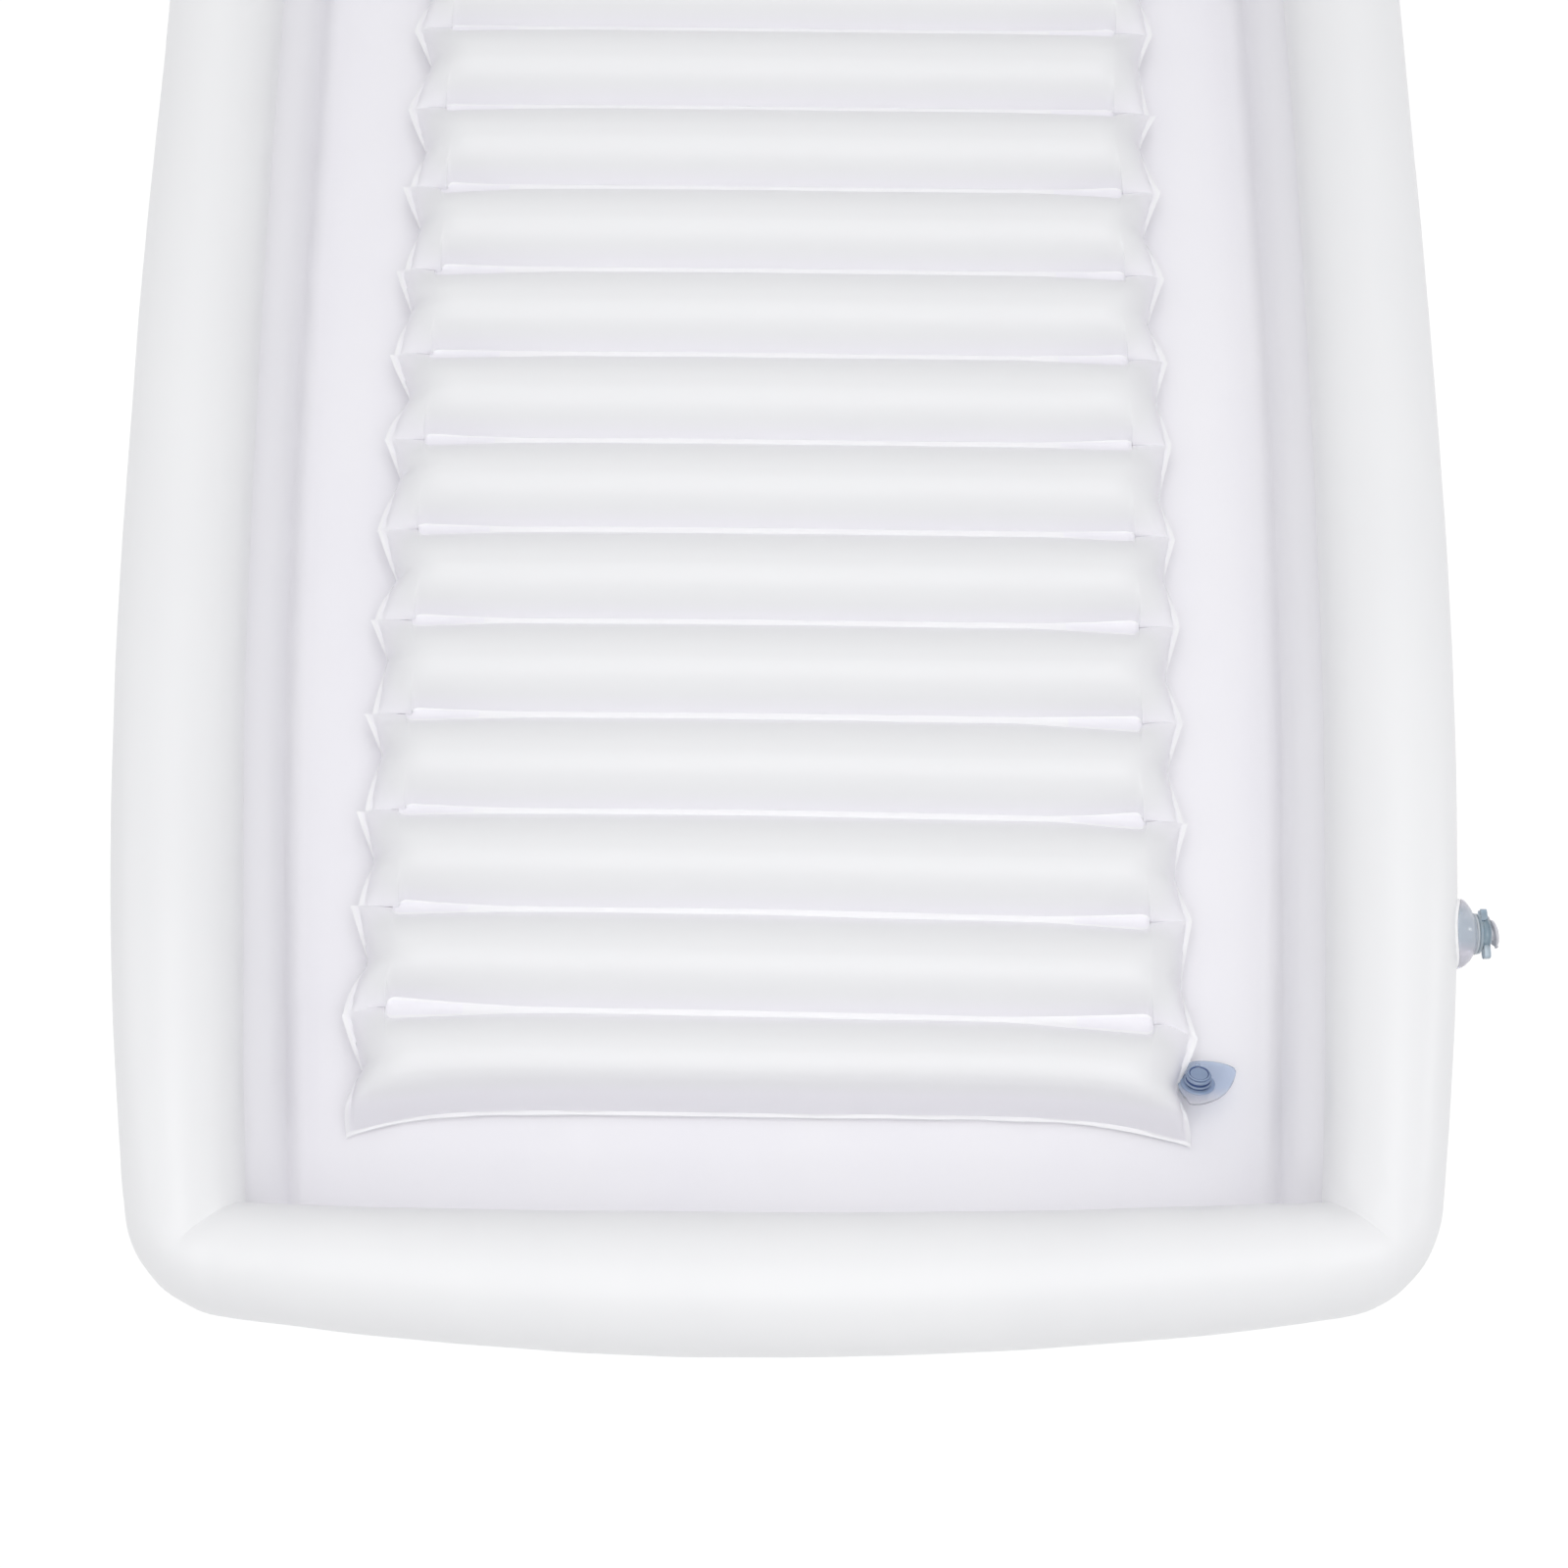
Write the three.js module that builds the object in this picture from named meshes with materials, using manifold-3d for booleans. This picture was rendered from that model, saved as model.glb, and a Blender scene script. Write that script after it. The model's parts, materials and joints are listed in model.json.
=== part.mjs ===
// Inflatable bathtub: two stacked air rings on a floor sheet, with a loose ribbed air mat inside.
// Millimetres, +Z up, origin on the ground under the middle of the tub, foot end towards -Y.
import * as THREE from 'three';
import { mergeVertices } from 'three/addons/utils/BufferGeometryUtils.js';
import Module from 'manifold-3d';

const wasm = await Module();
wasm.setup();

// Driving dimensions of the tub
const tubLength = 2100;
const tubWidth = 1000;
const tubeHeight = 100;
const tubeSideWidth = 92;
const tubeEndWidth = 96.5;
const sideStraight = 500;
const sideBowRadius = 4900;
const innerSideBowRadius = 5475;
const endBowRadius = 2400;
const innerEndBowRadius = 10400;
const cornerRadius = 85;
const creaseShare = 0.49;
const lowerRingInset = 11;
const weldFlatWidth = 24;
const webMargin = 3;
const filmThickness = 0.8;
const contactGap = 0.3;
const cutOverrun = 2;

// Air mat
const matCellPitch = 79.5;
const matEndExtra = 13;
const matFootGutter = 58.5;
const matHeadGutter = 110;
const matSideGutter = 35;
const matSkew = THREE.MathUtils.degToRad(-0.7);
const matCrownHeight = 32;
const matBellyDepth = 27;
const matFlangeWidth = 5;
const matSideDraw = 12.5;
const matEndDraw = 20;
const matCornerDraw = 6;
const matSeamStop = 26;
const matEndRound = 30;
const seamPassageShare = 0.5;
const bellyFlatShare = 0.72;

// Ring valves
const valveFromFoot = 294;
const valveFlangeRadius = 24.5;
const valvePatchRadius = 27.5;
const patchLift = 0.45;
const valveFlangeEdge = 1.1;
const neckRadius = 15;
const neckBoreRadius = 11.3;
const neckRise = 14.5;
const barrelRadius = 13.5;
const barrelDepth = 12.5;
const sealThickness = 1.6;
const sealRadius = 14.2;
const insertHeadRadius = 13.2;
const insertHeadThickness = 6;
const insertBoreRadius = 6;
const insertPlateThickness = 2;
const insertHoleRadius = 1.4;
const insertHoles = 4;
const lugReach = 17;
const lugWidth = 8;
const flapRadius = 7.6;
const flapThickness = 0.9;
const flapTravel = 3;
const studRadius = 1.2;
const studHeadRadius = 2.3;
const studHeadThickness = 1;
const pocketSpare = 1.5;
const capRadius = 9.2;
const capThickness = 2.8;
const capCrown = 1.2;
const capPlugDepth = 4;
const capPlugTaper = 0.9;
const capTabReach = 3.4;
const capTabWidth = 5;
const capTabThickness = 1.6;
const strapWidth = 6;
const strapThickness = 1.3;
const knuckleRadius = 1.4;
const knuckleOffset = 14.5;
const capRestAngle = THREE.MathUtils.degToRad(10);

// Mat valve
const tabReach = 41;
const tabHalfWidth = 20.5;
const tabThickness = 1;
const tabLean = THREE.MathUtils.degToRad(36);
const tabStationShares = [0, 0.12, 0.3, 0.5, 0.68, 0.83, 0.94, 1];
const tabWidthShares = [0.7, 0.8, 0.97, 1, 0.93, 0.76, 0.5, 0.26];
const stemFromRoot = 14.6;
const stemWaistRadius = 7.8;
const stemCollarRadius = 8.8;
const stemRimRadius = 9.4;
const stemBoreRadius = 5.2;
const stemHeight = 9;
const stemStepShares = [0.15, 0.3, 0.45, 0.6];
const stemRootDepth = 2.2;
const stemRootRadius = 9.2;
const stemPlugRadius = 6.8;
const stemPlugThickness = 1.8;
const stemPlugDepth = 4;
const stemPlugTaper = 0.8;
const stemStrapWidth = 4;
const stemStrapThickness = 1;
const stemKnuckleRadius = 1.1;

// Drain
const drainFromWall = 54;
const drainSeatRadius = 19;
const drainSeatThickness = 2;
const drainBoreRadius = 12;
const drainSpigotRadius = 14;
const drainSpigotLift = 0.3;
const drainPlugRadius = 15;
const drainPlugThickness = 2.2;
const drainPlugTaper = 0.7;
const drainPullLength = 16;
const drainPullWidth = 2.6;
const drainPullHeight = 6;

// Facet counts
const sideSteps = 7;
const cornerSteps = 5;
const endSteps = 5;
const tubeSteps = 9;
const latheSteps = 24;
const smallSteps = 12;
const twistSteps = 6;

// Heights that follow from the sizes above
const floorTop = filmThickness;
const flatDepth = (tubeHeight / 2) * Math.sin(flatAngle(weldFlatWidth));
const lowerRingCentre = floorTop + contactGap + flatDepth;
const webBottom = lowerRingCentre + flatDepth + contactGap;
const upperRingCentre = webBottom + filmThickness + contactGap + flatDepth;
const matBottom = floorTop + contactGap;
const matWeldTop = matBottom + matBellyDepth + filmThickness;
const upperSkinBottom = matWeldTop + contactGap;

const lerp = THREE.MathUtils.lerp;

const films = {
  wall: new THREE.MeshStandardMaterial({ color: 0xeeeef1, roughness: 0.42, metalness: 0 }),
  floor: new THREE.MeshStandardMaterial({ color: 0xe4e4ea, roughness: 0.45, metalness: 0 }),
  mat: new THREE.MeshStandardMaterial({ color: 0xf0f0f3, roughness: 0.4, metalness: 0 }),
  weld: new THREE.MeshStandardMaterial({ color: 0xf6f6fa, roughness: 0.35, metalness: 0 }),
  clear: new THREE.MeshStandardMaterial({ color: 0x9fb3c4, roughness: 0.22, metalness: 0 }),
  vinyl: new THREE.MeshStandardMaterial({ color: 0x93a4bd, roughness: 0.25, metalness: 0 }),
  rubber: new THREE.MeshStandardMaterial({ color: 0xb9c2cc, roughness: 0.6, metalness: 0 }),
};

// Shared vertices merged, flat triangles dropped and all faces turned outwards.
function closedGeometry(source) {
  const bare = source.clone();
  for (const name of Object.keys(bare.attributes)) {
    if (name !== 'position') bare.deleteAttribute(name);
  }
  const merged = mergeVertices(bare, 1e-4);
  const index = merged.getIndex().array;
  const place = merged.getAttribute('position');
  const kept = [];
  let volume = 0;
  const [a, b, c] = [new THREE.Vector3(), new THREE.Vector3(), new THREE.Vector3()];
  for (let i = 0; i < index.length; i += 3) {
    const [p, q, r] = [index[i], index[i + 1], index[i + 2]];
    if (p === q || q === r || r === p) continue;
    kept.push(p, q, r);
    a.fromBufferAttribute(place, p);
    b.fromBufferAttribute(place, q);
    c.fromBufferAttribute(place, r);
    volume += a.dot(b.cross(c));
  }
  if (volume < 0) kept.reverse();
  merged.setIndex(kept);
  merged.computeVertexNormals();
  return merged;
}

function toSolid(geometry) {
  const closed = closedGeometry(geometry);
  const vertProperties = new Float32Array(closed.getAttribute('position').array);
  const triVerts = new Uint32Array(closed.getIndex().array);
  return new wasm.Manifold(new wasm.Mesh({ numProp: 3, vertProperties, triVerts }));
}

function fromSolid(solid) {
  const mesh = solid.getMesh();
  const geometry = new THREE.BufferGeometry();
  geometry.setAttribute('position', new THREE.BufferAttribute(new Float32Array(mesh.vertProperties), 3));
  geometry.setIndex(Array.from(mesh.triVerts));
  return geometry;
}

function joined(...geometries) {
  return fromSolid(geometries.map(toSolid).reduce((sum, solid) => sum.add(solid)));
}

function cut(geometry, ...tools) {
  return fromSolid(tools.map(toSolid).reduce((rest, tool) => rest.subtract(tool), toSolid(geometry)));
}

function piece(name, geometry, material) {
  const mesh = new THREE.Mesh(closedGeometry(geometry), material);
  mesh.name = name;
  return mesh;
}

function triangles(points, index) {
  const geometry = new THREE.BufferGeometry();
  geometry.setAttribute('position', new THREE.Float32BufferAttribute(points.flat(), 3));
  geometry.setIndex(index);
  return geometry;
}

// Meeting point, in the first quadrant, of two circles in plan.
function circlesMeet(a, radiusA, b, radiusB) {
  const apart = a.distanceTo(b);
  const along = (radiusA ** 2 - radiusB ** 2 + apart ** 2) / (2 * apart);
  const off = Math.sqrt(Math.max(0, radiusA ** 2 - along ** 2));
  const way = b.clone().sub(a).divideScalar(apart);
  const foot = a.clone().addScaledVector(way, along);
  const side = new THREE.Vector2(-way.y, way.x);
  const one = foot.clone().addScaledVector(side, off);
  const two = foot.clone().addScaledVector(side, -off);
  return one.x + one.y > two.x + two.y ? one : two;
}

// Plan of the wall at a share of the way from its outer edge (0) to its inner edge (1).
function planSizes(share, shrink) {
  return {
    halfWidth: tubWidth / 2 - shrink - share * tubeSideWidth,
    halfLength: tubLength / 2 - shrink - share * tubeEndWidth,
    sideBow: 1 / lerp(1 / sideBowRadius, 1 / innerSideBowRadius, share),
    endBow: 1 / lerp(1 / endBowRadius, 1 / innerEndBowRadius, share),
    corner: cornerRadius * Math.max(0, 1 - share / creaseShare),
  };
}

function arcPoints(centre, radius, from, to, steps) {
  const points = [];
  for (let i = 0; i <= steps; i += 1) {
    const angle = lerp(from, to, i / steps);
    points.push(new THREE.Vector2(centre.x + radius * Math.cos(angle), centre.y + radius * Math.sin(angle)));
  }
  return points;
}

// Quarter of the plan, from the middle of the right side to the middle of the head end.
function quarterPlan(share, shrink) {
  const { halfWidth, halfLength, sideBow, endBow, corner } = planSizes(share, shrink);
  const sideCentre = new THREE.Vector2(halfWidth - sideBow, sideStraight / 2);
  const endCentre = new THREE.Vector2(0, halfLength - endBow);
  const cornerCentre = circlesMeet(sideCentre, sideBow - corner, endCentre, endBow - corner);
  const sideEnd = cornerCentre.clone().sub(sideCentre).angle();
  const endStart = cornerCentre.clone().sub(endCentre).angle();
  return [
    new THREE.Vector2(halfWidth, 0),
    ...arcPoints(sideCentre, sideBow, 0, sideEnd, sideSteps),
    ...arcPoints(cornerCentre, corner, sideEnd, endStart, cornerSteps).slice(1, -1),
    ...arcPoints(endCentre, endBow, endStart, Math.PI / 2, endSteps),
  ];
}

function wholePlan(share, shrink) {
  const quarter = quarterPlan(share, shrink);
  const back = quarter.slice(0, -1).reverse();
  const turned = (points, x, y) => points.map((p) => new THREE.Vector2(p.x * x, p.y * y));
  return [
    ...quarter,
    ...turned(back, -1, 1),
    ...turned(quarter.slice(1), -1, -1),
    ...turned(back.slice(0, -1), 1, -1),
  ];
}

// Angle above or below the widest line at which a tube's section meets its weld flat.
function flatAngle(flat) {
  return Math.acos(flat / tubeSideWidth);
}

// Section of an air tube as {share, z}, with its flat where it is welded below or above.
function tubeSection(centre, flatBelow, flatAbove) {
  const low = flatAngle(flatBelow);
  const high = flatAngle(flatAbove);
  const at = (angle) => {
    return { share: (1 - Math.cos(angle)) / 2, z: centre + (tubeHeight / 2) * Math.sin(angle) };
  };
  const points = [];
  for (let i = 0; i <= tubeSteps; i += 1) points.push(at(lerp(-low, high, i / tubeSteps)));
  const first = flatAbove > 0 ? 0 : 1;
  for (let i = first; i <= tubeSteps; i += 1) {
    points.push(at(lerp(Math.PI - high, Math.PI + low, i / tubeSteps)));
  }
  return points;
}

// Closed loop of sections round the plan.
function ringGeometry(section, shrink) {
  const rows = section.map(({ share, z }) => wholePlan(share, shrink).map((p) => [p.x, p.y, z]));
  const around = rows[0].length;
  const index = [];
  for (let k = 0; k < rows.length; k += 1) {
    const next = (k + 1) % rows.length;
    for (let i = 0; i < around; i += 1) {
      const j = (i + 1) % around;
      const [a, b] = [k * around + i, k * around + j];
      const [c, d] = [next * around + i, next * around + j];
      index.push(a, b, d, a, d, c);
    }
  }
  return triangles(rows.flat(), index);
}

function planShape(points) {
  const distinct = points.filter((p, i) => i === 0 || p.distanceTo(points[i - 1]) > contactGap);
  return new THREE.Shape(distinct);
}

function plate(shape, thickness, bottom, curveSegments = latheSteps) {
  const options = { depth: thickness, bevelEnabled: false, curveSegments };
  return new THREE.ExtrudeGeometry(shape, options).translate(0, 0, bottom);
}

function circleHole(x, y, radius) {
  return new THREE.Path().absarc(x, y, radius, 0, 2 * Math.PI, true);
}

// Lathe about +Z from [radius, height] points.
function turned(profile, steps = latheSteps) {
  const points = [...profile, profile[0]].map(([radius, height]) => new THREE.Vector2(radius, height));
  return new THREE.LatheGeometry(points, steps).rotateX(Math.PI / 2);
}

function rod(radius, from, to, steps = smallSteps) {
  return turned([[0, from], [radius, from], [radius, to], [0, to]], steps);
}

function block(x, y, z, centre) {
  return new THREE.BoxGeometry(x, y, z).translate(centre.x, centre.y, centre.z);
}

// How far the tube's wall falls back at a height off its widest line.
function wallDrop(height) {
  const half = tubeHeight / 2;
  return (tubeSideWidth / 2) * (1 - Math.sqrt(Math.max(0, 1 - (height / half) ** 2)));
}

// Lathe about +Z whose points follow the tube's wall by a third number from 0 to 1.
// Before the valve is laid on its side, the tube's height runs along -X and its length along +Y.
// The valve looks straight across the tub, so its flange also takes up how far the wall turns there.
function fitted(profile, turn) {
  const geometry = turned(profile);
  const place = geometry.getAttribute('position');
  const count = profile.length + 1;
  for (let i = 0; i < place.count; i += 1) {
    const follow = profile[(i % count) % profile.length][2];
    const back = wallDrop(place.getX(i)) / Math.cos(turn) + place.getY(i) * Math.tan(turn);
    place.setZ(i, place.getZ(i) - follow * back);
  }
  return geometry;
}

// Valve piece heights, outwards from the tube's wall
const patchTop = patchLift + filmThickness;
const flangeBottom = patchTop + contactGap;
const sealBottom = neckRise + contactGap;
const headBottom = sealBottom + sealThickness + contactGap;
const headTop = headBottom + insertHeadThickness;
const capBottom = headTop + contactGap;
const plateTop = insertPlateThickness - barrelDepth;
const flapTop = -barrelDepth - contactGap;
const studHeadBottom = plateTop + flapTravel + contactGap;
const pocketDepth = barrelDepth + contactGap + flapThickness + flapTravel + pocketSpare;
const insertRadius = neckBoreRadius - contactGap;
const capPlugRadius = insertBoreRadius - contactGap;
const knuckleHeight = headTop + contactGap + knuckleRadius;

function valveBase(turn) {
  const rim = flangeBottom + valveFlangeEdge;
  const spread = valveFlangeRadius - neckRadius;
  const rise = neckRise - rim;
  const bellShares = [[0.95, 0.22, 1], [0.76, 0.45, 0.85], [0.48, 0.66, 0.5], [0.2, 0.8, 0.2], [0, 0.9, 0]];
  const bell = bellShares.map(([out, up, follow]) => [neckRadius + out * spread, rim + up * rise, follow]);
  return fitted([
    [barrelRadius, flangeBottom, 1],
    [(barrelRadius + valveFlangeRadius) / 2, flangeBottom, 1],
    [valveFlangeRadius, flangeBottom, 1],
    [valveFlangeRadius, rim, 1],
    ...bell,
    [neckRadius, neckRise, 0],
    [neckBoreRadius, neckRise, 0],
    [neckBoreRadius, -barrelDepth, 0],
    [barrelRadius, -barrelDepth, 0],
  ], turn);
}

function valvePatch(turn) {
  const inner = barrelRadius + contactGap;
  const middle = (inner + valvePatchRadius) / 2;
  return fitted([
    [inner, patchLift, 1],
    [middle, patchLift, 1],
    [valvePatchRadius, patchLift, 1],
    [valvePatchRadius, patchTop, 1],
    [middle, patchTop, 1],
    [inner, patchTop, 1],
  ], turn);
}

function valveSeal() {
  const inner = insertRadius + contactGap;
  const top = sealBottom + sealThickness;
  return turned([[inner, sealBottom], [sealRadius, sealBottom], [sealRadius, top], [inner, top]]);
}

function valveInsert() {
  const hub = studRadius + contactGap;
  const body = turned([
    [hub, -barrelDepth],
    [insertRadius, -barrelDepth],
    [insertRadius, headBottom],
    [insertHeadRadius, headBottom],
    [insertHeadRadius, headTop],
    [insertBoreRadius, headTop],
    [insertBoreRadius, plateTop],
    [hub, plateTop],
  ]);
  const lugLength = 2 * lugReach;
  const middle = new THREE.Vector3(0, 0, (headBottom + headTop) / 2);
  const lugs = block(lugWidth, lugLength, insertHeadThickness, middle);
  const bore = rod(insertBoreRadius, plateTop, headTop + cutOverrun, latheSteps);
  const holeCircle = (hub + insertBoreRadius) / 2;
  const hole = rod(insertHoleRadius, -barrelDepth - cutOverrun, plateTop + cutOverrun / 2, smallSteps / 2);
  const holes = [];
  for (let i = 0; i < insertHoles; i += 1) {
    holes.push(hole.clone().translate(holeCircle, 0, 0).rotateZ((2 * Math.PI * i) / insertHoles));
  }
  return cut(joined(body, cut(lugs, bore)), ...holes);
}

function valveFlap() {
  const bottom = flapTop - flapThickness;
  const studTop = studHeadBottom + studHeadThickness;
  return turned([
    [0, bottom],
    [flapRadius, bottom],
    [flapRadius, flapTop],
    [studRadius, flapTop],
    [studRadius, studHeadBottom],
    [studHeadRadius, studHeadBottom],
    [studHeadRadius, studTop],
    [0, studTop],
  ], smallSteps);
}

function valveCap() {
  const top = capBottom + capThickness;
  const plugBottom = headTop - capPlugDepth;
  const disc = turned([
    [0, plugBottom],
    [capPlugRadius - capPlugTaper, plugBottom],
    [capPlugRadius, capBottom],
    [capRadius, capBottom],
    [capRadius, top - capCrown / 2],
    [capRadius - capCrown, top],
    [capRadius / 2, top + capCrown],
    [0, top + capCrown],
  ]);
  const length = capTabReach + capCrown;
  const tabMiddle = length / 2 - capRadius - capTabReach;
  const middle = new THREE.Vector3(0, tabMiddle, capBottom + capTabThickness / 2);
  return joined(disc, block(capTabWidth, length, capTabThickness, middle));
}

function valveStrap() {
  const from = capRadius + contactGap;
  const middle = new THREE.Vector3(0, (from + knuckleOffset) / 2, capBottom + strapThickness / 2);
  const web = block(strapWidth, knuckleOffset - from, strapThickness, middle);
  const knuckle = rod(knuckleRadius, -strapWidth / 2, strapWidth / 2).rotateY(Math.PI / 2);
  return joined(web, knuckle.translate(0, knuckleOffset, knuckleHeight));
}

// Place of a ring valve on the right wall, and how far the wall turns there.
function valvePlace(ringCentre, shrink) {
  const { halfWidth, sideBow } = planSizes(0, shrink);
  const along = tubLength / 2 - valveFromFoot;
  const turn = Math.asin((along - sideStraight / 2) / sideBow);
  const reach = halfWidth - sideBow + sideBow * Math.cos(turn);
  return { turn: -turn, position: new THREE.Vector3(reach, -along, ringCentre) };
}

// A frame whose +Z looks straight across the tub, whose +X looks down and whose +Y looks to the head end.
function valveFrame({ position }) {
  const frame = new THREE.Group();
  frame.position.copy(position);
  frame.rotation.y = Math.PI / 2;
  frame.updateMatrixWorld(true);
  return frame;
}

// Cap and strap, opened about the strap's knuckle by the angle they rest at.
function lid(offset, height, angle, ...pieces) {
  const hinge = new THREE.Group();
  hinge.position.set(0, offset, height);
  hinge.rotation.x = -angle;
  for (const part of pieces) part.position.set(0, -offset, -height);
  hinge.add(...pieces);
  return hinge;
}

function ringValve(name, place) {
  const frame = valveFrame(place);
  const cap = piece(`${name}_cap`, valveCap(), films.clear);
  const strap = piece(`${name}_strap`, valveStrap(), films.clear);
  frame.add(
    piece(`${name}_patch`, valvePatch(place.turn), films.weld),
    piece(`${name}_base`, valveBase(place.turn), films.clear),
    piece(`${name}_seal`, valveSeal(), films.rubber),
    piece(`${name}_insert`, valveInsert(), films.clear),
    piece(`${name}_flap`, valveFlap(), films.rubber),
    lid(knuckleOffset, knuckleHeight, capRestAngle, cap, strap),
  );
  return frame;
}

function ringWithPocket(section, shrink, place) {
  const radius = barrelRadius + contactGap;
  const mouth = cutOverrun + radius * Math.tan(Math.abs(place.turn));
  const pocket = rod(radius, -pocketDepth, mouth, latheSteps);
  pocket.applyMatrix4(valveFrame(place).matrixWorld);
  return cut(ringGeometry(section, shrink), pocket);
}

function wallWeb() {
  const half = weldFlatWidth / 2 + webMargin;
  const share = half / tubeSideWidth;
  const shape = planShape(wholePlan(0.5 - share, 0));
  shape.holes.push(new THREE.Path(planShape(wholePlan(0.5 + share, lowerRingInset)).getPoints().reverse()));
  return plate(shape, filmThickness, webBottom);
}

function floorSheet() {
  const share = (weldFlatWidth / 2 + webMargin) / tubeSideWidth;
  const shape = planShape(wholePlan(0.5 - share, lowerRingInset));
  shape.holes.push(circleHole(0, drainAlong, drainSpigotRadius + contactGap));
  return plate(shape, filmThickness, 0);
}

// Air mat, in its own frame: X across, Y along from its foot edge, Z as in the tub
const innerPlan = planSizes(1, lowerRingInset);
const footWall = -innerPlan.halfLength;
const matEnds = 2 * (matFlangeWidth + matEndExtra);
const matRoom = 2 * innerPlan.halfLength - matFootGutter - matHeadGutter - matEnds;
const matCells = Math.floor(matRoom / matCellPitch);
const matFoot = footWall + matFootGutter + matFlangeWidth;
const matLength = matCells * matCellPitch + 2 * matEndExtra;
const cornerInside = quarterPlan(1, lowerRingInset)[sideSteps + 1];
const matHalfWidth = cornerInside.x - matSideGutter;
const skinHalfWidth = matHalfWidth - matFlangeWidth;
const drainAlong = innerPlan.halfLength - drainFromWall;

const cellShare = (v) => v - Math.floor(v);
const footFade = (v) => Math.max(0, 1 - v);
const headFade = (v) => Math.max(0, v - (matCells - 1));

// How far the sides are drawn in, and how far an end edge is pulled in at a share of the way across.
function drawIn(v) {
  return matSideDraw * Math.sin(Math.PI * v) ** 2 + matCornerDraw * (footFade(v) + headFade(v));
}

function endPull(across, v) {
  return matEndDraw * (1 - across ** 2) * (footFade(v) ** 3 - headFade(v) ** 3);
}

function matAlong(v) {
  return v * matCellPitch + matEndExtra * (1 + headFade(v) - footFade(v));
}

function matPoint(across, v, halfWidth, beyond) {
  return [across * (halfWidth - drawIn(v)), matAlong(v) + endPull(across, v) + beyond];
}

// Height of the inflated skin at a place, as a share of its crown.
function crownShare(across, v, cellForm) {
  const x = Math.abs(across) * skinHalfWidth;
  const free = x - (skinHalfWidth - matSeamStop);
  const open = THREE.MathUtils.smoothstep(free, 0, matSeamStop / 2);
  const fall = Math.max(0, x - (skinHalfWidth - matEndRound)) / matEndRound;
  const edge = Math.sqrt(Math.max(0, 1 - fall ** 2));
  const atEnd = v <= 0 || v >= matCells;
  const cell = cellForm(cellShare(v));
  const passage = atEnd ? 0 : Math.max(cell, seamPassageShare);
  return edge * lerp(cell, passage, open);
}

// Solid between a flat face and a grid of heights over the same plan.
function reliefSolid(grid, flatHeight) {
  const rows = grid.length;
  const columns = grid[0].length;
  const points = grid.flat();
  const index = [];
  for (let r = 0; r < rows - 1; r += 1) {
    for (let c = 0; c < columns - 1; c += 1) {
      const a = r * columns + c;
      index.push(a, a + 1, a + columns + 1, a, a + columns + 1, a + columns);
    }
  }
  const rim = [];
  for (let c = 0; c < columns; c += 1) rim.push(c);
  for (let r = 1; r < rows; r += 1) rim.push(r * columns + columns - 1);
  for (let c = columns - 2; c >= 0; c -= 1) rim.push((rows - 1) * columns + c);
  for (let r = rows - 2; r > 0; r -= 1) rim.push(r * columns);
  const base = points.length;
  const flat = rim.map((i) => [points[i][0], points[i][1], flatHeight]);
  rim.forEach((i, k) => {
    const next = (k + 1) % rim.length;
    index.push(i, base + k, rim[next], rim[next], base + k, base + next);
  });
  const outline = flat.map(([x, y]) => new THREE.Vector2(x, y));
  for (const [a, b, c] of THREE.ShapeUtils.triangulateShape(outline, [])) {
    index.push(base + a, base + c, base + b);
  }
  return triangles([...points, ...flat], index);
}

function mirroredShares(shares) {
  return [...shares.map((share) => -share).reverse(), ...shares];
}

const seamShare = (skinHalfWidth - matSeamStop) / skinHalfWidth;
const roundShare = lerp(seamShare, 1, 0.5);

function upperSkin() {
  const acrossShares = mirroredShares([0.4, seamShare, roundShare, lerp(roundShare, 1, 0.6), 1]);
  const cellForm = (t) => 2 * Math.sqrt(t * (1 - t));
  const cellShares = [0, 0.146, 0.5, 0.854];
  const grid = [];
  for (let cell = 0; cell <= matCells; cell += 1) {
    for (const t of cell < matCells ? cellShares : [0]) {
      grid.push(acrossShares.map((across) => {
        const [x, y] = matPoint(across, cell + t, skinHalfWidth, 0);
        const crown = matCrownHeight * crownShare(across, cell + t, cellForm);
        return [x, y, upperSkinBottom + filmThickness + crown];
      }));
    }
  }
  return reliefSolid(grid, upperSkinBottom);
}

function lowerSkin() {
  const shares = mirroredShares([seamShare, roundShare, 1]);
  const flatStart = (1 - bellyFlatShare) / 2;
  const cellForm = (t) => Math.min(1, Math.min(t, 1 - t) / flatStart);
  const cellShares = [0, flatStart, tabCellShare, 1 - flatStart];
  const weldBottom = matWeldTop - filmThickness;
  const row = (v, beyond, depth) => {
    const inner = shares.map((across) => {
      const [x, y] = matPoint(across, v, skinHalfWidth, beyond);
      return [x, y, weldBottom - depth * crownShare(across, v, cellForm)];
    });
    const [left, leftY] = matPoint(-1, v, matHalfWidth, beyond);
    const [right, rightY] = matPoint(1, v, matHalfWidth, beyond);
    return [[left, leftY, weldBottom], ...inner, [right, rightY, weldBottom]];
  };
  const grid = [row(0, -matFlangeWidth, 0)];
  for (let cell = 0; cell <= matCells; cell += 1) {
    for (const t of cell < matCells ? cellShares : [0]) grid.push(row(cell + t, 0, matBellyDepth));
  }
  grid.push(row(matCells, matFlangeWidth, 0));
  return reliefSolid(grid, matWeldTop);
}

// Mat valve on the right edge of the foot cell, in the mat's frame
const tabCellShare = 0.47;
const tabAlong = matAlong(tabCellShare);
const tabRoot = matHalfWidth - drawIn(tabCellShare) + contactGap;

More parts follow.
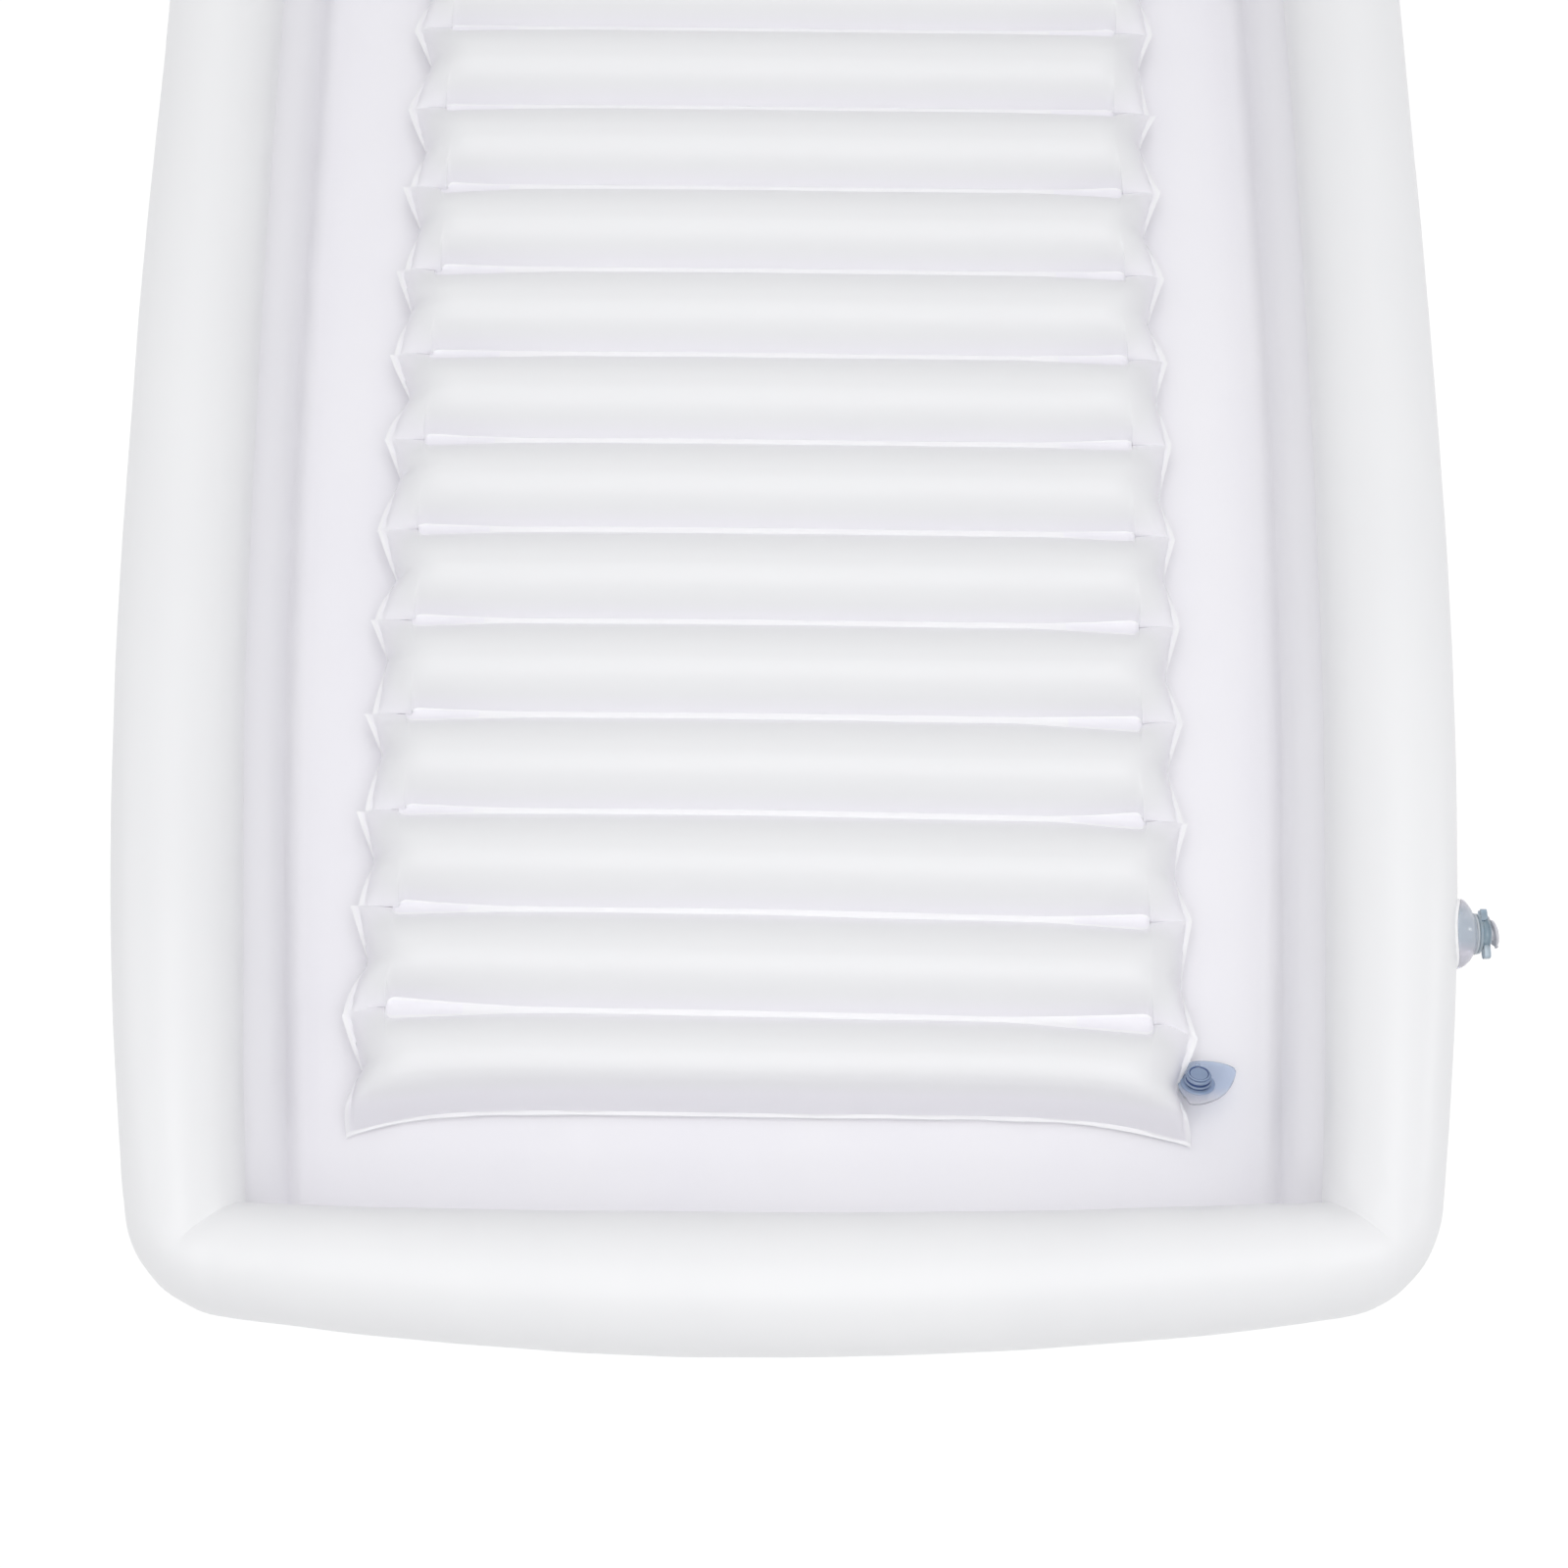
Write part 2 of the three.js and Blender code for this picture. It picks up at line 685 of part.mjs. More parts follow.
// How far the mat's edge stands out beside the tab's middle: straight to the lower skin's next station.
function rootEdge(across) {
  if (across === 0) return 0;
  const v = (1 + Math.sign(across) * bellyFlatShare) / 2;
  return ((drawIn(tabCellShare) - drawIn(v)) * across) / (matAlong(v) - tabAlong);
}

// Tab with a straight root along the mat's edge, leaned over about X from its second station on.
function valveTab() {
  const rows = [];
  for (const top of [0, tabThickness]) {
    tabStationShares.forEach((share, i) => {
      const lean = i > 0 ? tabLean : 0;
      const half = tabWidthShares[i] * tabHalfWidth;
      const row = [];
      for (let k = 0; k <= twistSteps; k += 1) {
        const across = lerp(-half, half, k / twistSteps);
        const x = i > 0 ? share * tabReach : rootEdge(across);
        const y = across * Math.cos(lean) + top * Math.sin(lean);
        row.push([x, y, top * Math.cos(lean) - across * Math.sin(lean)]);
      }
      rows.push(row);
    });
  }
  const count = tabStationShares.length;
  const width = twistSteps + 1;
  const index = [];
  const quad = (a, b, c, d) => index.push(a, b, c, a, c, d);
  const under = (i, k) => i * width + k;
  const over = (i, k) => (count + i) * width + k;
  for (let i = 0; i < count - 1; i += 1) {
    for (let k = 0; k < twistSteps; k += 1) {
      quad(over(i, k), over(i + 1, k), over(i + 1, k + 1), over(i, k + 1));
      quad(under(i, k), under(i, k + 1), under(i + 1, k + 1), under(i + 1, k));
    }
    quad(under(i, 0), under(i + 1, 0), over(i + 1, 0), over(i, 0));
    quad(under(i, twistSteps), over(i, twistSteps), over(i + 1, twistSteps), under(i + 1, twistSteps));
  }
  for (let k = 0; k < twistSteps; k += 1) {
    quad(under(0, k), over(0, k), over(0, k + 1), under(0, k + 1));
    quad(under(count - 1, k), under(count - 1, k + 1), over(count - 1, k + 1), over(count - 1, k));
  }
  return triangles(rows.flat(), index);
}

function stemBody() {
  const rise = (share) => tabThickness + share * stemHeight;
  const [collarFrom, collarFull, collarEnd, rimFrom] = stemStepShares.map(rise);
  return turned([
    [stemBoreRadius, -stemRootDepth],
    [stemRootRadius, -stemRootDepth],
    [stemRootRadius, -contactGap],
    [stemWaistRadius, -contactGap],
    [stemWaistRadius, collarFrom],
    [stemCollarRadius, collarFull],
    [stemWaistRadius, collarEnd],
    [stemRimRadius, rimFrom],
    [stemRimRadius, stemTop],
    [stemBoreRadius, stemTop],
  ]);
}

const stemTop = tabThickness + stemHeight;
const stemPlugBottom = stemTop + contactGap;
const stemKnuckleOffset = stemRimRadius;

function stemPlug() {
  const fit = stemBoreRadius - contactGap;
  const top = stemPlugBottom + stemPlugThickness;
  return turned([
    [0, stemTop - stemPlugDepth],
    [fit - stemPlugTaper, stemTop - stemPlugDepth],
    [fit, stemPlugBottom],
    [stemPlugRadius, stemPlugBottom],
    [stemPlugRadius, top],
    [0, top],
  ]);
}

function stemStrap() {
  const from = stemPlugRadius + contactGap;
  const length = stemKnuckleOffset - from;
  const middle = new THREE.Vector3(0, from + length / 2, stemPlugBottom + stemStrapThickness / 2);
  const web = block(stemStrapWidth, length, stemStrapThickness, middle);
  const knuckle = rod(stemKnuckleRadius, -stemStrapWidth / 2, stemStrapWidth / 2).rotateY(Math.PI / 2);
  return joined(web, knuckle.translate(0, stemKnuckleOffset, stemPlugBottom + stemKnuckleRadius));
}

function matValve() {
  const valve = new THREE.Group();
  valve.position.set(tabRoot, tabAlong, matWeldTop - tabThickness);
  const stem = new THREE.Group();
  stem.position.set(stemFromRoot, 0, 0);
  stem.rotation.x = -tabLean;
  stem.add(
    piece('mattress_valve_stem', stemBody(), films.vinyl),
    piece('mattress_valve_plug', stemPlug(), films.vinyl),
    piece('mattress_valve_strap', stemStrap(), films.vinyl),
  );
  const opening = rod(stemWaistRadius + contactGap, -stemRootDepth, tabThickness + cutOverrun, latheSteps);
  opening.rotateX(-tabLean).translate(stemFromRoot, 0, 0);
  valve.add(piece('mattress_valve_tab', cut(valveTab(), opening), films.vinyl), stem);
  return valve;
}

function mattress() {
  const turnedMat = new THREE.Group();
  const mat = new THREE.Group();
  turnedMat.position.set(0, matFoot + matLength / 2, 0);
  turnedMat.rotation.z = matSkew;
  mat.position.set(0, -matLength / 2, 0);
  mat.add(
    piece('mattress_upper_skin', upperSkin(), films.mat),
    piece('mattress_lower_skin', lowerSkin(), films.mat),
    matValve(),
  );
  turnedMat.add(mat);
  return turnedMat;
}

function drain() {
  const seatBottom = floorTop + contactGap;
  const seatTop = seatBottom + drainSeatThickness;
  const plugFit = drainBoreRadius - contactGap;
  const discBottom = seatTop + contactGap;
  const discTop = discBottom + drainPlugThickness;
  const seat = turned([
    [drainBoreRadius, drainSpigotLift],
    [drainSpigotRadius, drainSpigotLift],
    [drainSpigotRadius, seatBottom],
    [drainSeatRadius, seatBottom],
    [drainSeatRadius, seatTop],
    [drainBoreRadius, seatTop],
  ]);
  const disc = turned([
    [0, floorTop],
    [plugFit - drainPlugTaper, floorTop],
    [plugFit, seatTop],
    [plugFit, discBottom],
    [drainPlugRadius, discBottom],
    [drainPlugRadius, discTop],
    [0, discTop],
  ]);
  const pullMiddle = new THREE.Vector3(0, 0, discTop + (drainPullHeight - contactGap) / 2);
  const pull = block(drainPullLength, drainPullWidth, drainPullHeight + contactGap, pullMiddle);
  const group = new THREE.Group();
  group.position.y = drainAlong;
  group.add(
    piece('drain_seat', seat, films.weld),
    piece('drain_plug', joined(disc, pull), films.clear),
  );
  return group;
}

const upperPlace = valvePlace(upperRingCentre, 0);
const lowerPlace = valvePlace(lowerRingCentre, lowerRingInset);
const upperSection = tubeSection(upperRingCentre, weldFlatWidth, 0);
const lowerSection = tubeSection(lowerRingCentre, weldFlatWidth, weldFlatWidth);

const tub = new THREE.Group();
tub.add(
  piece('upper_ring', ringWithPocket(upperSection, 0, upperPlace), films.wall),
  piece('lower_ring', ringWithPocket(lowerSection, lowerRingInset, lowerPlace), films.wall),
  piece('ring_web', wallWeb(), films.weld),
  piece('floor_sheet', floorSheet(), films.floor),
  ringValve('upper_valve', upperPlace),
  ringValve('lower_valve', lowerPlace),
  mattress(),
  drain(),
);

export default tub;
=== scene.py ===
"""Looks of the inflatable bathtub. Sizes are in millimetres until a mesh is made, which is in metres."""
import json
import math

import bmesh
import bpy
import numpy as np
from mathutils import Matrix, Vector, geometry


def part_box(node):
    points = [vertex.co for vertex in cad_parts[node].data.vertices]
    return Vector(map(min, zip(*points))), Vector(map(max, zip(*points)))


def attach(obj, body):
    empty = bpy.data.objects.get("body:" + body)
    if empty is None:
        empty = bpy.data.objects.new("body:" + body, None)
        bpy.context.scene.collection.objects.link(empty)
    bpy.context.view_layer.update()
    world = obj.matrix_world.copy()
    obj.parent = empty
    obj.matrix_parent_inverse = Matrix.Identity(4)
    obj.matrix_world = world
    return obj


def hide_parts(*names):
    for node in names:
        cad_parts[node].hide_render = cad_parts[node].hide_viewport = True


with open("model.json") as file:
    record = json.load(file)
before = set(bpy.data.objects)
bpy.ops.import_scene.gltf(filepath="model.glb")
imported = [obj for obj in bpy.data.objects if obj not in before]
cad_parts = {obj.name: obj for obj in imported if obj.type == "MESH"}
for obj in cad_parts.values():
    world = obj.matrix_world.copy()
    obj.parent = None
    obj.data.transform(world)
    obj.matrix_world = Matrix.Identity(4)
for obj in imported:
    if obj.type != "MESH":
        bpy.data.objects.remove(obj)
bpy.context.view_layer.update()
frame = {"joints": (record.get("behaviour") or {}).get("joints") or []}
MM = 0.001
# Gap between two welded solids
WELD_GAP = 0.3
TAU = 2 * math.pi
QUARTER = math.pi / 2


# Places taken from the frame

def joint_place(name):
    return np.array(next(j["pos_m"] for j in frame["joints"] if j["name"] == name)) / MM


def node_box(name):
    """Lowest and highest corner of a solid."""
    return np.array(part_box(name)) / MM


VALVES = {which: joint_place(f"{which}_valve_screw") for which in ("upper", "lower")}
CENTRES = {which: place[2] for which, place in VALVES.items()}
KNUCKLE_Z, KNUCKLE_Y, _ = joint_place("upper_valve_cap_hinge") - VALVES["upper"]
PLUG_HINGE = joint_place("mattress_plug_hinge")
WEB_BOTTOM = node_box("ring_web")[0, 2] - WELD_GAP
DRAIN_Y = node_box("drain_plug")[:, 1].mean()

# Sizes shared with the solids: the tub
TUB_HALF_W, TUB_HALF_L = 500.0, 1050.0
TUBE_W, TUBE_H, FILM = 92.0, 100.0, 0.8
SIDE_TUBE_W, END_TUBE_W = 91.0, 97.0
WELD_FLAT, WELD_REACH = 24.0, 15.0
INSETS = {"upper": 0.0, "lower": 11.0}
CORNER_R, CREASE = 85.0, 0.58
# How deep a side line of the plan bows in, at what distance from mid length, and with what power
SIDE_OUTER, SIDE_INNER = (52.5, 960.0, 3.3), (40.0, 946.0, 2.3)
# An end line of the plan bows in by x squared over this
END_OUTER_BOW, END_INNER_BOW = 5400.0, 21000.0
WALL_TURN = -math.radians(5.9276)

# Sizes shared with the solids: the air mat
CELLS, PITCH, END_EXTRA = 21, 79.5, 13.0
MAT_LENGTH = CELLS * PITCH + 2 * END_EXTRA
MAT_FOOT, MAT_HALF, FLANGE = -879.0, 319.2, 5.0
MAT_CENTRE_Y = MAT_FOOT + MAT_LENGTH / 2
MAT_SKEW = math.radians(-0.7)
WELD_Z, CROWN, BELLY = 29.0, 32.0, 27.3
TAB_LEAN = math.radians(36)
STEM_ON_TAB = 14.6
PLUG_KNUCKLE = Vector((0, 9.4, 11.4))

# How far the caps stand open at rest
CAP_REST = math.radians(10)


# Materials

TONE_LOW, TONE_HIGH = 0.3, 0.7
FILM_GLOSS = {"IOR": 1.5, "Specular IOR Level": 0.4}
VINYL_GLOSS = {"IOR": 1.46, "Coat Weight": 0.3, "Coat Roughness": 0.08}
CREASE_HEIGHT, CREASE_FINER = 0.0012, 2.2
GRAIN_SCALE, GRAIN_STRENGTH, GRAIN_HEIGHT = 900, 0.12, 0.00008
VINYL_TONE_SCALE, VINYL_BUMP_SCALE, VINYL_BUMP_HEIGHT = 45, 160, 0.0003


def node(tree, kind, inputs=None, **settings):
    """New node in a tree, with values on its own sockets."""
    made = tree.nodes.new(kind)
    for key, value in settings.items():
        setattr(made, key, value)
    for key, value in (inputs or {}).items():
        made.inputs[key].default_value = value
    return made


def new_material(name, values):
    """Material of one Principled shader, with its tree and that shader."""
    mat = bpy.data.materials.new(name)
    mat.use_nodes = True
    tree = mat.node_tree
    tree.nodes.clear()
    out = node(tree, "ShaderNodeOutputMaterial")
    shader = node(tree, "ShaderNodeBsdfPrincipled", values)
    tree.links.new(shader.outputs[0], out.inputs[0])
    return mat, tree, shader


def noise(tree, scale, detail, rough, stretch=(1, 1, 1)):
    """Noise in the object's own space, drawn out along the axes where stretch is under 1."""
    coord = node(tree, "ShaderNodeTexCoord")
    mapping = node(tree, "ShaderNodeMapping", {"Scale": stretch})
    tex = node(tree, "ShaderNodeTexNoise", {"Scale": scale, "Detail": detail, "Roughness": rough})
    tree.links.new(coord.outputs["Object"], mapping.inputs["Vector"])
    tree.links.new(mapping.outputs[0], tex.inputs["Vector"])
    return tex.outputs["Fac"]


def mottle(tree, shader, grain, low, high):
    """Colour between two near tones by a noise."""
    ramp = node(tree, "ShaderNodeValToRGB")
    stops = ramp.color_ramp.elements
    for stop, place, tone in zip(stops, (TONE_LOW, TONE_HIGH), (low, high)):
        stop.position = place
        stop.color = (*tone, 1)
    tree.links.new(grain, ramp.inputs["Fac"])
    tree.links.new(ramp.outputs["Color"], shader.inputs["Base Color"])


def bumped(tree, shader, layers):
    """Chain of bumps, each (noise, strength, distance in metres)."""
    normal = None
    for grain, strength, distance in layers:
        bump = node(tree, "ShaderNodeBump", {"Strength": strength, "Distance": distance})
        tree.links.new(grain, bump.inputs["Height"])
        if normal is not None:
            tree.links.new(normal, bump.inputs["Normal"])
        normal = bump.outputs[0]
    tree.links.new(normal, shader.inputs["Normal"])


def shade_along(mat, axis, centre, start, end, noisy=0.3):
    """Run a material's tones with the distance from a place on an axis, in metres, and keep some noise."""
    tree = mat.node_tree
    link = tree.links.new
    ramp = next(n for n in tree.nodes if n.type == "VALTORGB")
    grain = ramp.inputs["Fac"].links[0].from_socket
    coord = node(tree, "ShaderNodeTexCoord")
    split = node(tree, "ShaderNodeSeparateXYZ")
    away = node(tree, "ShaderNodeMath", {1: centre}, operation="SUBTRACT")
    distance = node(tree, "ShaderNodeMath", operation="ABSOLUTE")
    share = node(tree, "ShaderNodeMapRange", {"From Min": start, "From Max": end})
    drift = node(tree, "ShaderNodeMath", {1: noisy, 2: -noisy / 2}, operation="MULTIPLY_ADD")
    total = node(tree, "ShaderNodeMath", operation="ADD")
    link(coord.outputs["Object"], split.inputs[0])
    link(split.outputs[axis], away.inputs[0])
    link(away.outputs[0], distance.inputs[0])
    link(distance.outputs[0], share.inputs["Value"])
    link(grain, drift.inputs[0])
    link(share.outputs["Result"], total.inputs[0])
    link(drift.outputs[0], total.inputs[1])
    link(total.outputs[0], ramp.inputs["Fac"])


def film(name, low, high, rough, scale, stretch=(1, 1, 1), crease=0.3):
    """Satin PVC film: near-white with faint tonal drift, soft waviness and a fine calendered grain."""
    mat, tree, shader = new_material(name, {"Roughness": rough, **FILM_GLOSS})
    mottle(tree, shader, noise(tree, scale, 4, 0.55, stretch), low, high)
    waviness = noise(tree, scale * CREASE_FINER, 3, 0.5, stretch)
    grain = noise(tree, GRAIN_SCALE, 2, 0.6)
    bumped(tree, shader, [(waviness, crease, CREASE_HEIGHT), (grain, GRAIN_STRENGTH, GRAIN_HEIGHT)])
    return mat


def clear_vinyl(name, low, high, rough, transmission):
    """Glossy tinted plastic that lets a share of the light through."""
    values = {"Roughness": rough, "Transmission Weight": transmission, **VINYL_GLOSS}
    mat, tree, shader = new_material(name, values)
    mottle(tree, shader, noise(tree, VINYL_TONE_SCALE, 3, 0.5), low, high)
    bumped(tree, shader, [(noise(tree, VINYL_BUMP_SCALE, 3, 0.5), GRAIN_STRENGTH, VINYL_BUMP_HEIGHT)])
    return mat


ALONG = (1, 0.4, 1)
# One PVC film in three tones: the lower ring and the floor are lighter than the upper wall. This is painted
# light, standing in for the light that the translucent film lets into the tub.
WALL = film("wall_film", (0.902, 0.902, 0.912), (0.932, 0.932, 0.938), 0.36, 6, ALONG, 0.22)
LOWER = film("lower_wall_film_painted_light", (0.94, 0.93, 0.965), (0.965, 0.955, 0.985), 0.4, 6, ALONG, 0.25)
FLOOR = film("floor_film", (0.965, 0.955, 0.99), (0.985, 0.976, 1.0), 0.4, 8, (1, 0.28, 1), 0.5)
# The cells' film changes with height: lighter and lilac near the weld plane, greyer and darker on the crowns.
# This is painted light: a lilac lightening where shade falls on the cells' lower sides, and painted shade on
# their lit crowns.
MAT = film("mat_film", (0.935, 0.926, 0.955), (0.905, 0.906, 0.914), 0.32, 7, (0.35, 1, 1), 0.2)
shade_along(MAT, "Z", 0, 0.028, 0.056)
# Weld film, also used on the mat's flange, the valve patches and the drain ring. It is whiter than the walls:
# partly its own tone, and partly painted highlight along the thin weld lines, the flange and the patch rims.
WELD = film("weld_film", (0.965, 0.962, 0.975), (0.985, 0.982, 0.99), 0.25, 30, crease=0.2)
FLAT = film("mat_weld_film", (0.925, 0.914, 0.955), (0.945, 0.934, 0.972), 0.3, 40)
RUBBER = film("seal_rubber", (0.52, 0.56, 0.6), (0.58, 0.62, 0.66), 0.55, 80, crease=0.1)
BELL = clear_vinyl("valve_bell_plastic", (0.72, 0.79, 0.88), (0.88, 0.85, 0.94), 0.12, 0.5)
shade_along(BELL, "Y", VALVES["upper"][1] * MM, 0.004, 0.024)
# Darker copy of the insert's clear plastic for the faces of its head's waist: painted shade in that recess.
INSERT_WAIST_SHADE = clear_vinyl("valve_waist_painted_shade", (0.32, 0.45, 0.54), (0.42, 0.54, 0.62), 0.1, 0.4)
CLEAR = clear_vinyl("valve_plastic", (0.48, 0.60, 0.70), (0.64, 0.73, 0.80), 0.08, 0.5)
LIP = clear_vinyl("valve_cap_plastic", (0.76, 0.76, 0.83), (0.86, 0.86, 0.90), 0.1, 0.35)
VINYL = clear_vinyl("mat_valve_vinyl", (0.36, 0.48, 0.70), (0.46, 0.57, 0.78), 0.12, 0.35)
# Dark navy copy of the mat valve's vinyl, used for the stem's grooves, the ring inside the stopper's rim and
# the underside of that rim: painted shade.
MAT_VALVE_SHADE = clear_vinyl("mat_valve_painted_shade", (0.05, 0.09, 0.24), (0.09, 0.15, 0.34), 0.2, 0.2)
TABVINYL = clear_vinyl("mat_tab_vinyl", (0.70, 0.80, 0.96), (0.93, 0.93, 0.97), 0.14, 0.8)
shade_along(TABVINYL, "Y", 0, 0.832, 0.862)


# Meshes. A shape is a pair of points and faces.

MERGE = 2e-6


def mesh_object(name, shape, body, replaced, materials, angle=45.0, tones=None):
    """Smooth-shaded piece that rides on a body and stands for solids of the frame."""
    points, faces = shape
    mesh = bpy.data.meshes.new(name)
    mesh.from_pydata((np.asarray(points, float) * MM).tolist(), [], [list(f) for f in faces])
    for material in materials:
        mesh.materials.append(material)
    if tones is not None:
        mesh.polygons.foreach_set("material_index", np.asarray(tones, np.int32))
    bm = bmesh.new()
    bm.from_mesh(mesh)
    bmesh.ops.remove_doubles(bm, verts=bm.verts, dist=MERGE)
    bmesh.ops.dissolve_degenerate(bm, dist=MERGE, edges=bm.edges)
    bmesh.ops.recalc_face_normals(bm, faces=bm.faces)
    bm.to_mesh(mesh)
    bm.free()
    mesh.polygons.foreach_set("use_smooth", [True] * len(mesh.polygons))
    mesh.set_sharp_from_angle(angle=math.radians(angle))
    obj = bpy.data.objects.new(name, mesh)
    bpy.context.scene.collection.objects.link(obj)
    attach(obj, body)
    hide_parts(*replaced)
    return obj


def grid_faces(rows, cols, wrap_rows=False, wrap_cols=False, start=0):
    """Quads of a grid stored row by row."""
    r = np.arange(rows if wrap_rows else rows - 1)
    c = np.arange(cols if wrap_cols else cols - 1)
    r, c = np.meshgrid(r, c, indexing="ij")
    r1, c1 = (r + 1) % rows, (c + 1) % cols
    corners = [r * cols + c, r * cols + c1, r1 * cols + c1, r1 * cols + c]
    return (np.stack(corners, -1) + start).reshape(-1, 4)


def closed_film(first, second):
    """Shape of two grids of points, joined along their border; the border's faces come last."""
    rows, cols = first.shape[:2]
    count = rows * cols
    index = np.arange(count).reshape(rows, cols)
    here = np.concatenate([index[0, :-1], index[:-1, -1], index[-1, :0:-1], index[:0:-1, 0]])
    after = np.roll(here, -1)
    rim = np.stack([after, here, here + count, after + count], 1)
    faces = np.vstack([grid_faces(rows, cols), grid_faces(rows, cols, start=count)[:, ::-1], rim])
    return np.vstack([first.reshape(-1, 3), second.reshape(-1, 3)]), faces


def level(plan, z):
    """A line of the plan at a height."""
    return np.column_stack([plan, np.full(len(plan), z)])


def waves(x, y, z, size, seed, count=7):
    """Smooth seeded unevenness between about -1 and 1, with features of roughly the given size."""
    rng = np.random.default_rng(seed)
    total = np.zeros(np.broadcast(x, y, z).shape)
    for _ in range(count):
        k = rng.normal(size=3)
        k *= TAU / (size * rng.uniform(0.7, 1.8)) / np.linalg.norm(k)
        total += np.sin(k[0] * x + k[1] * y + k[2] * z + rng.uniform(0, TAU))
    return total / math.sqrt(count * 2)


def smooth(x, a, b):
    """Rise from 0 at a to 1 at b without a kink."""
    t = np.clip((x - a) / (b - a), 0, 1)
    return t * t * (3 - 2 * t)


def moved(shape, matrix):
    points, faces = shape
    m = np.array(matrix)
    return np.asarray(points, float) @ m[:3, :3].T + m[:3, 3], faces


def merged(*shapes):
    points, faces, start = [], [], 0
    for p, f in shapes:
        points.append(np.asarray(p, float))
        faces += [[i + start for i in face] for face in f]
        start += len(p)
    return np.vstack(points), faces


# Plan of the wall

START_Y, NEWTON_STEP, NEWTON_ROUNDS = 900.0, 0.01, 12


def plan_curves(share, shrink):
    """Half width along the tub, and half length across it, at a share from the outer to the inner edge."""
    def bow(y, form):
        depth, reach, power = form
        return depth * (abs(y) / reach) ** power

    def side(y):
        outer = TUB_HALF_W - bow(y, SIDE_OUTER)
        inner = TUB_HALF_W - SIDE_TUBE_W - bow(y, SIDE_INNER)
        return outer + (inner - outer) * share - shrink

    def end(x):
        outer = TUB_HALF_L - x * x / END_OUTER_BOW
        inner = TUB_HALF_L - END_TUBE_W - x * x / END_INNER_BOW
        return outer + (inner - outer) * share - shrink
    return side, end


def quarter_plan(share, shrink, n_side=64, n_corner=18, n_end=44):
    """Line from the middle of a side, round a corner, to the middle of an end."""
    side, end = plan_curves(share, shrink)
    radius = CORNER_R * max(0.0, 1 - share / CREASE)
    h = NEWTON_STEP

    def touch(y, x):
        """Points and outward normals of the side at y and of the end at x."""
        side_slope = (side(y + h) - side(y - h)) / (2 * h)
        end_slope = (end(x + h) - end(x - h)) / (2 * h)
        side_normal = np.array([1.0, -side_slope]) / math.hypot(1, side_slope)
        end_normal = np.array([-end_slope, 1.0]) / math.hypot(1, end_slope)
        return np.array([side(y), y]), side_normal, np.array([x, end(x)]), end_normal

    def gap(where):
        """Between the two centres of a corner circle that touches the side, or the end."""
        p, side_normal, q, end_normal = touch(*where)
        return (p - radius * side_normal) - (q - radius * end_normal)

    def ease(count):
        return np.sin(np.linspace(0, QUARTER, count))

    where = np.array([end(side(START_Y)) - radius, side(START_Y) - radius])
    steps = (np.array([h, 0]), np.array([0, h]))
    for _ in range(NEWTON_ROUNDS):
        miss = gap(where)
        slopes = np.stack([(gap(where + step) - miss) / h for step in steps], 1)
        where = where - np.linalg.solve(slopes, miss)
    p, side_normal, _, end_normal = touch(*where)
    centre = p - radius * side_normal
    ys = ease(n_side) * where[0]
    xs = ease(n_end)[::-1] * where[1]
    first, last = (math.atan2(n[1], n[0]) for n in (side_normal, end_normal))
    angles = np.linspace(first, last, n_corner + 2)[1:-1]
    corner = [centre[0] + radius * np.cos(angles), centre[1] + radius * np.sin(angles)]
    return np.vstack([
        np.stack([[side(y) for y in ys], ys], 1),
        np.stack(corner, 1),
        np.stack([xs, [end(x) for x in xs]], 1),
    ])


def whole_plan(share, shrink, **counts):
    q = quarter_plan(share, shrink, **counts)
    back = q[::-1]
    return np.vstack([q, back[1:] * (-1, 1), q[1:] * (-1, -1), back[1:-1] * (1, -1)])


# Wall rings

# Unevenness of a tube: how high, how large, and how much it is drawn out along the tub
SWELL, RIPPLE = (0.55, 170, 0.6), (0.22, 60, 0.7)
GATHER, GATHER_SIZE, GATHER_PLACE, GATHER_REACH = 0.8, 26, (392, 960), 55
# How far the film lies inside the solid's face
SUNK = 0.35
# The wall is open behind a valve: faces go that reach into the bore and stay under the patch
HOLE_R, PATCH_COVER, WALL_DEPTH = 13.5, 26.5, 30


def tube_section(centre, flat_below, flat_above, steps=26):
    """(share, height) round a tube, with a flat where it is welded."""
    def angle(flat):
        return math.acos(flat / TUBE_W) if flat else QUARTER
    low, high = angle(flat_below), angle(flat_above)
    left = np.linspace(-low, high, steps)
    right = np.linspace(math.pi - high, math.pi + low, steps)
    if not flat_above:
        right = right[1:]
    t = np.concatenate([left, right])
    return np.stack([(1 - np.cos(t)) / 2, centre + TUBE_H / 2 * np.sin(t)], 1)


def open_behind_valve(points, faces, place):
    """Faces that leave the valve's bore open."""
    off = np.hypot(points[:, 1] - place[1], points[:, 2] - place[2])
    off = np.where(points[:, 0] < place[0] - WALL_DEPTH, np.inf, off)
    return faces[(off[faces].min(1) > HOLE_R) | (off[faces].max(1) > PATCH_COVER)]


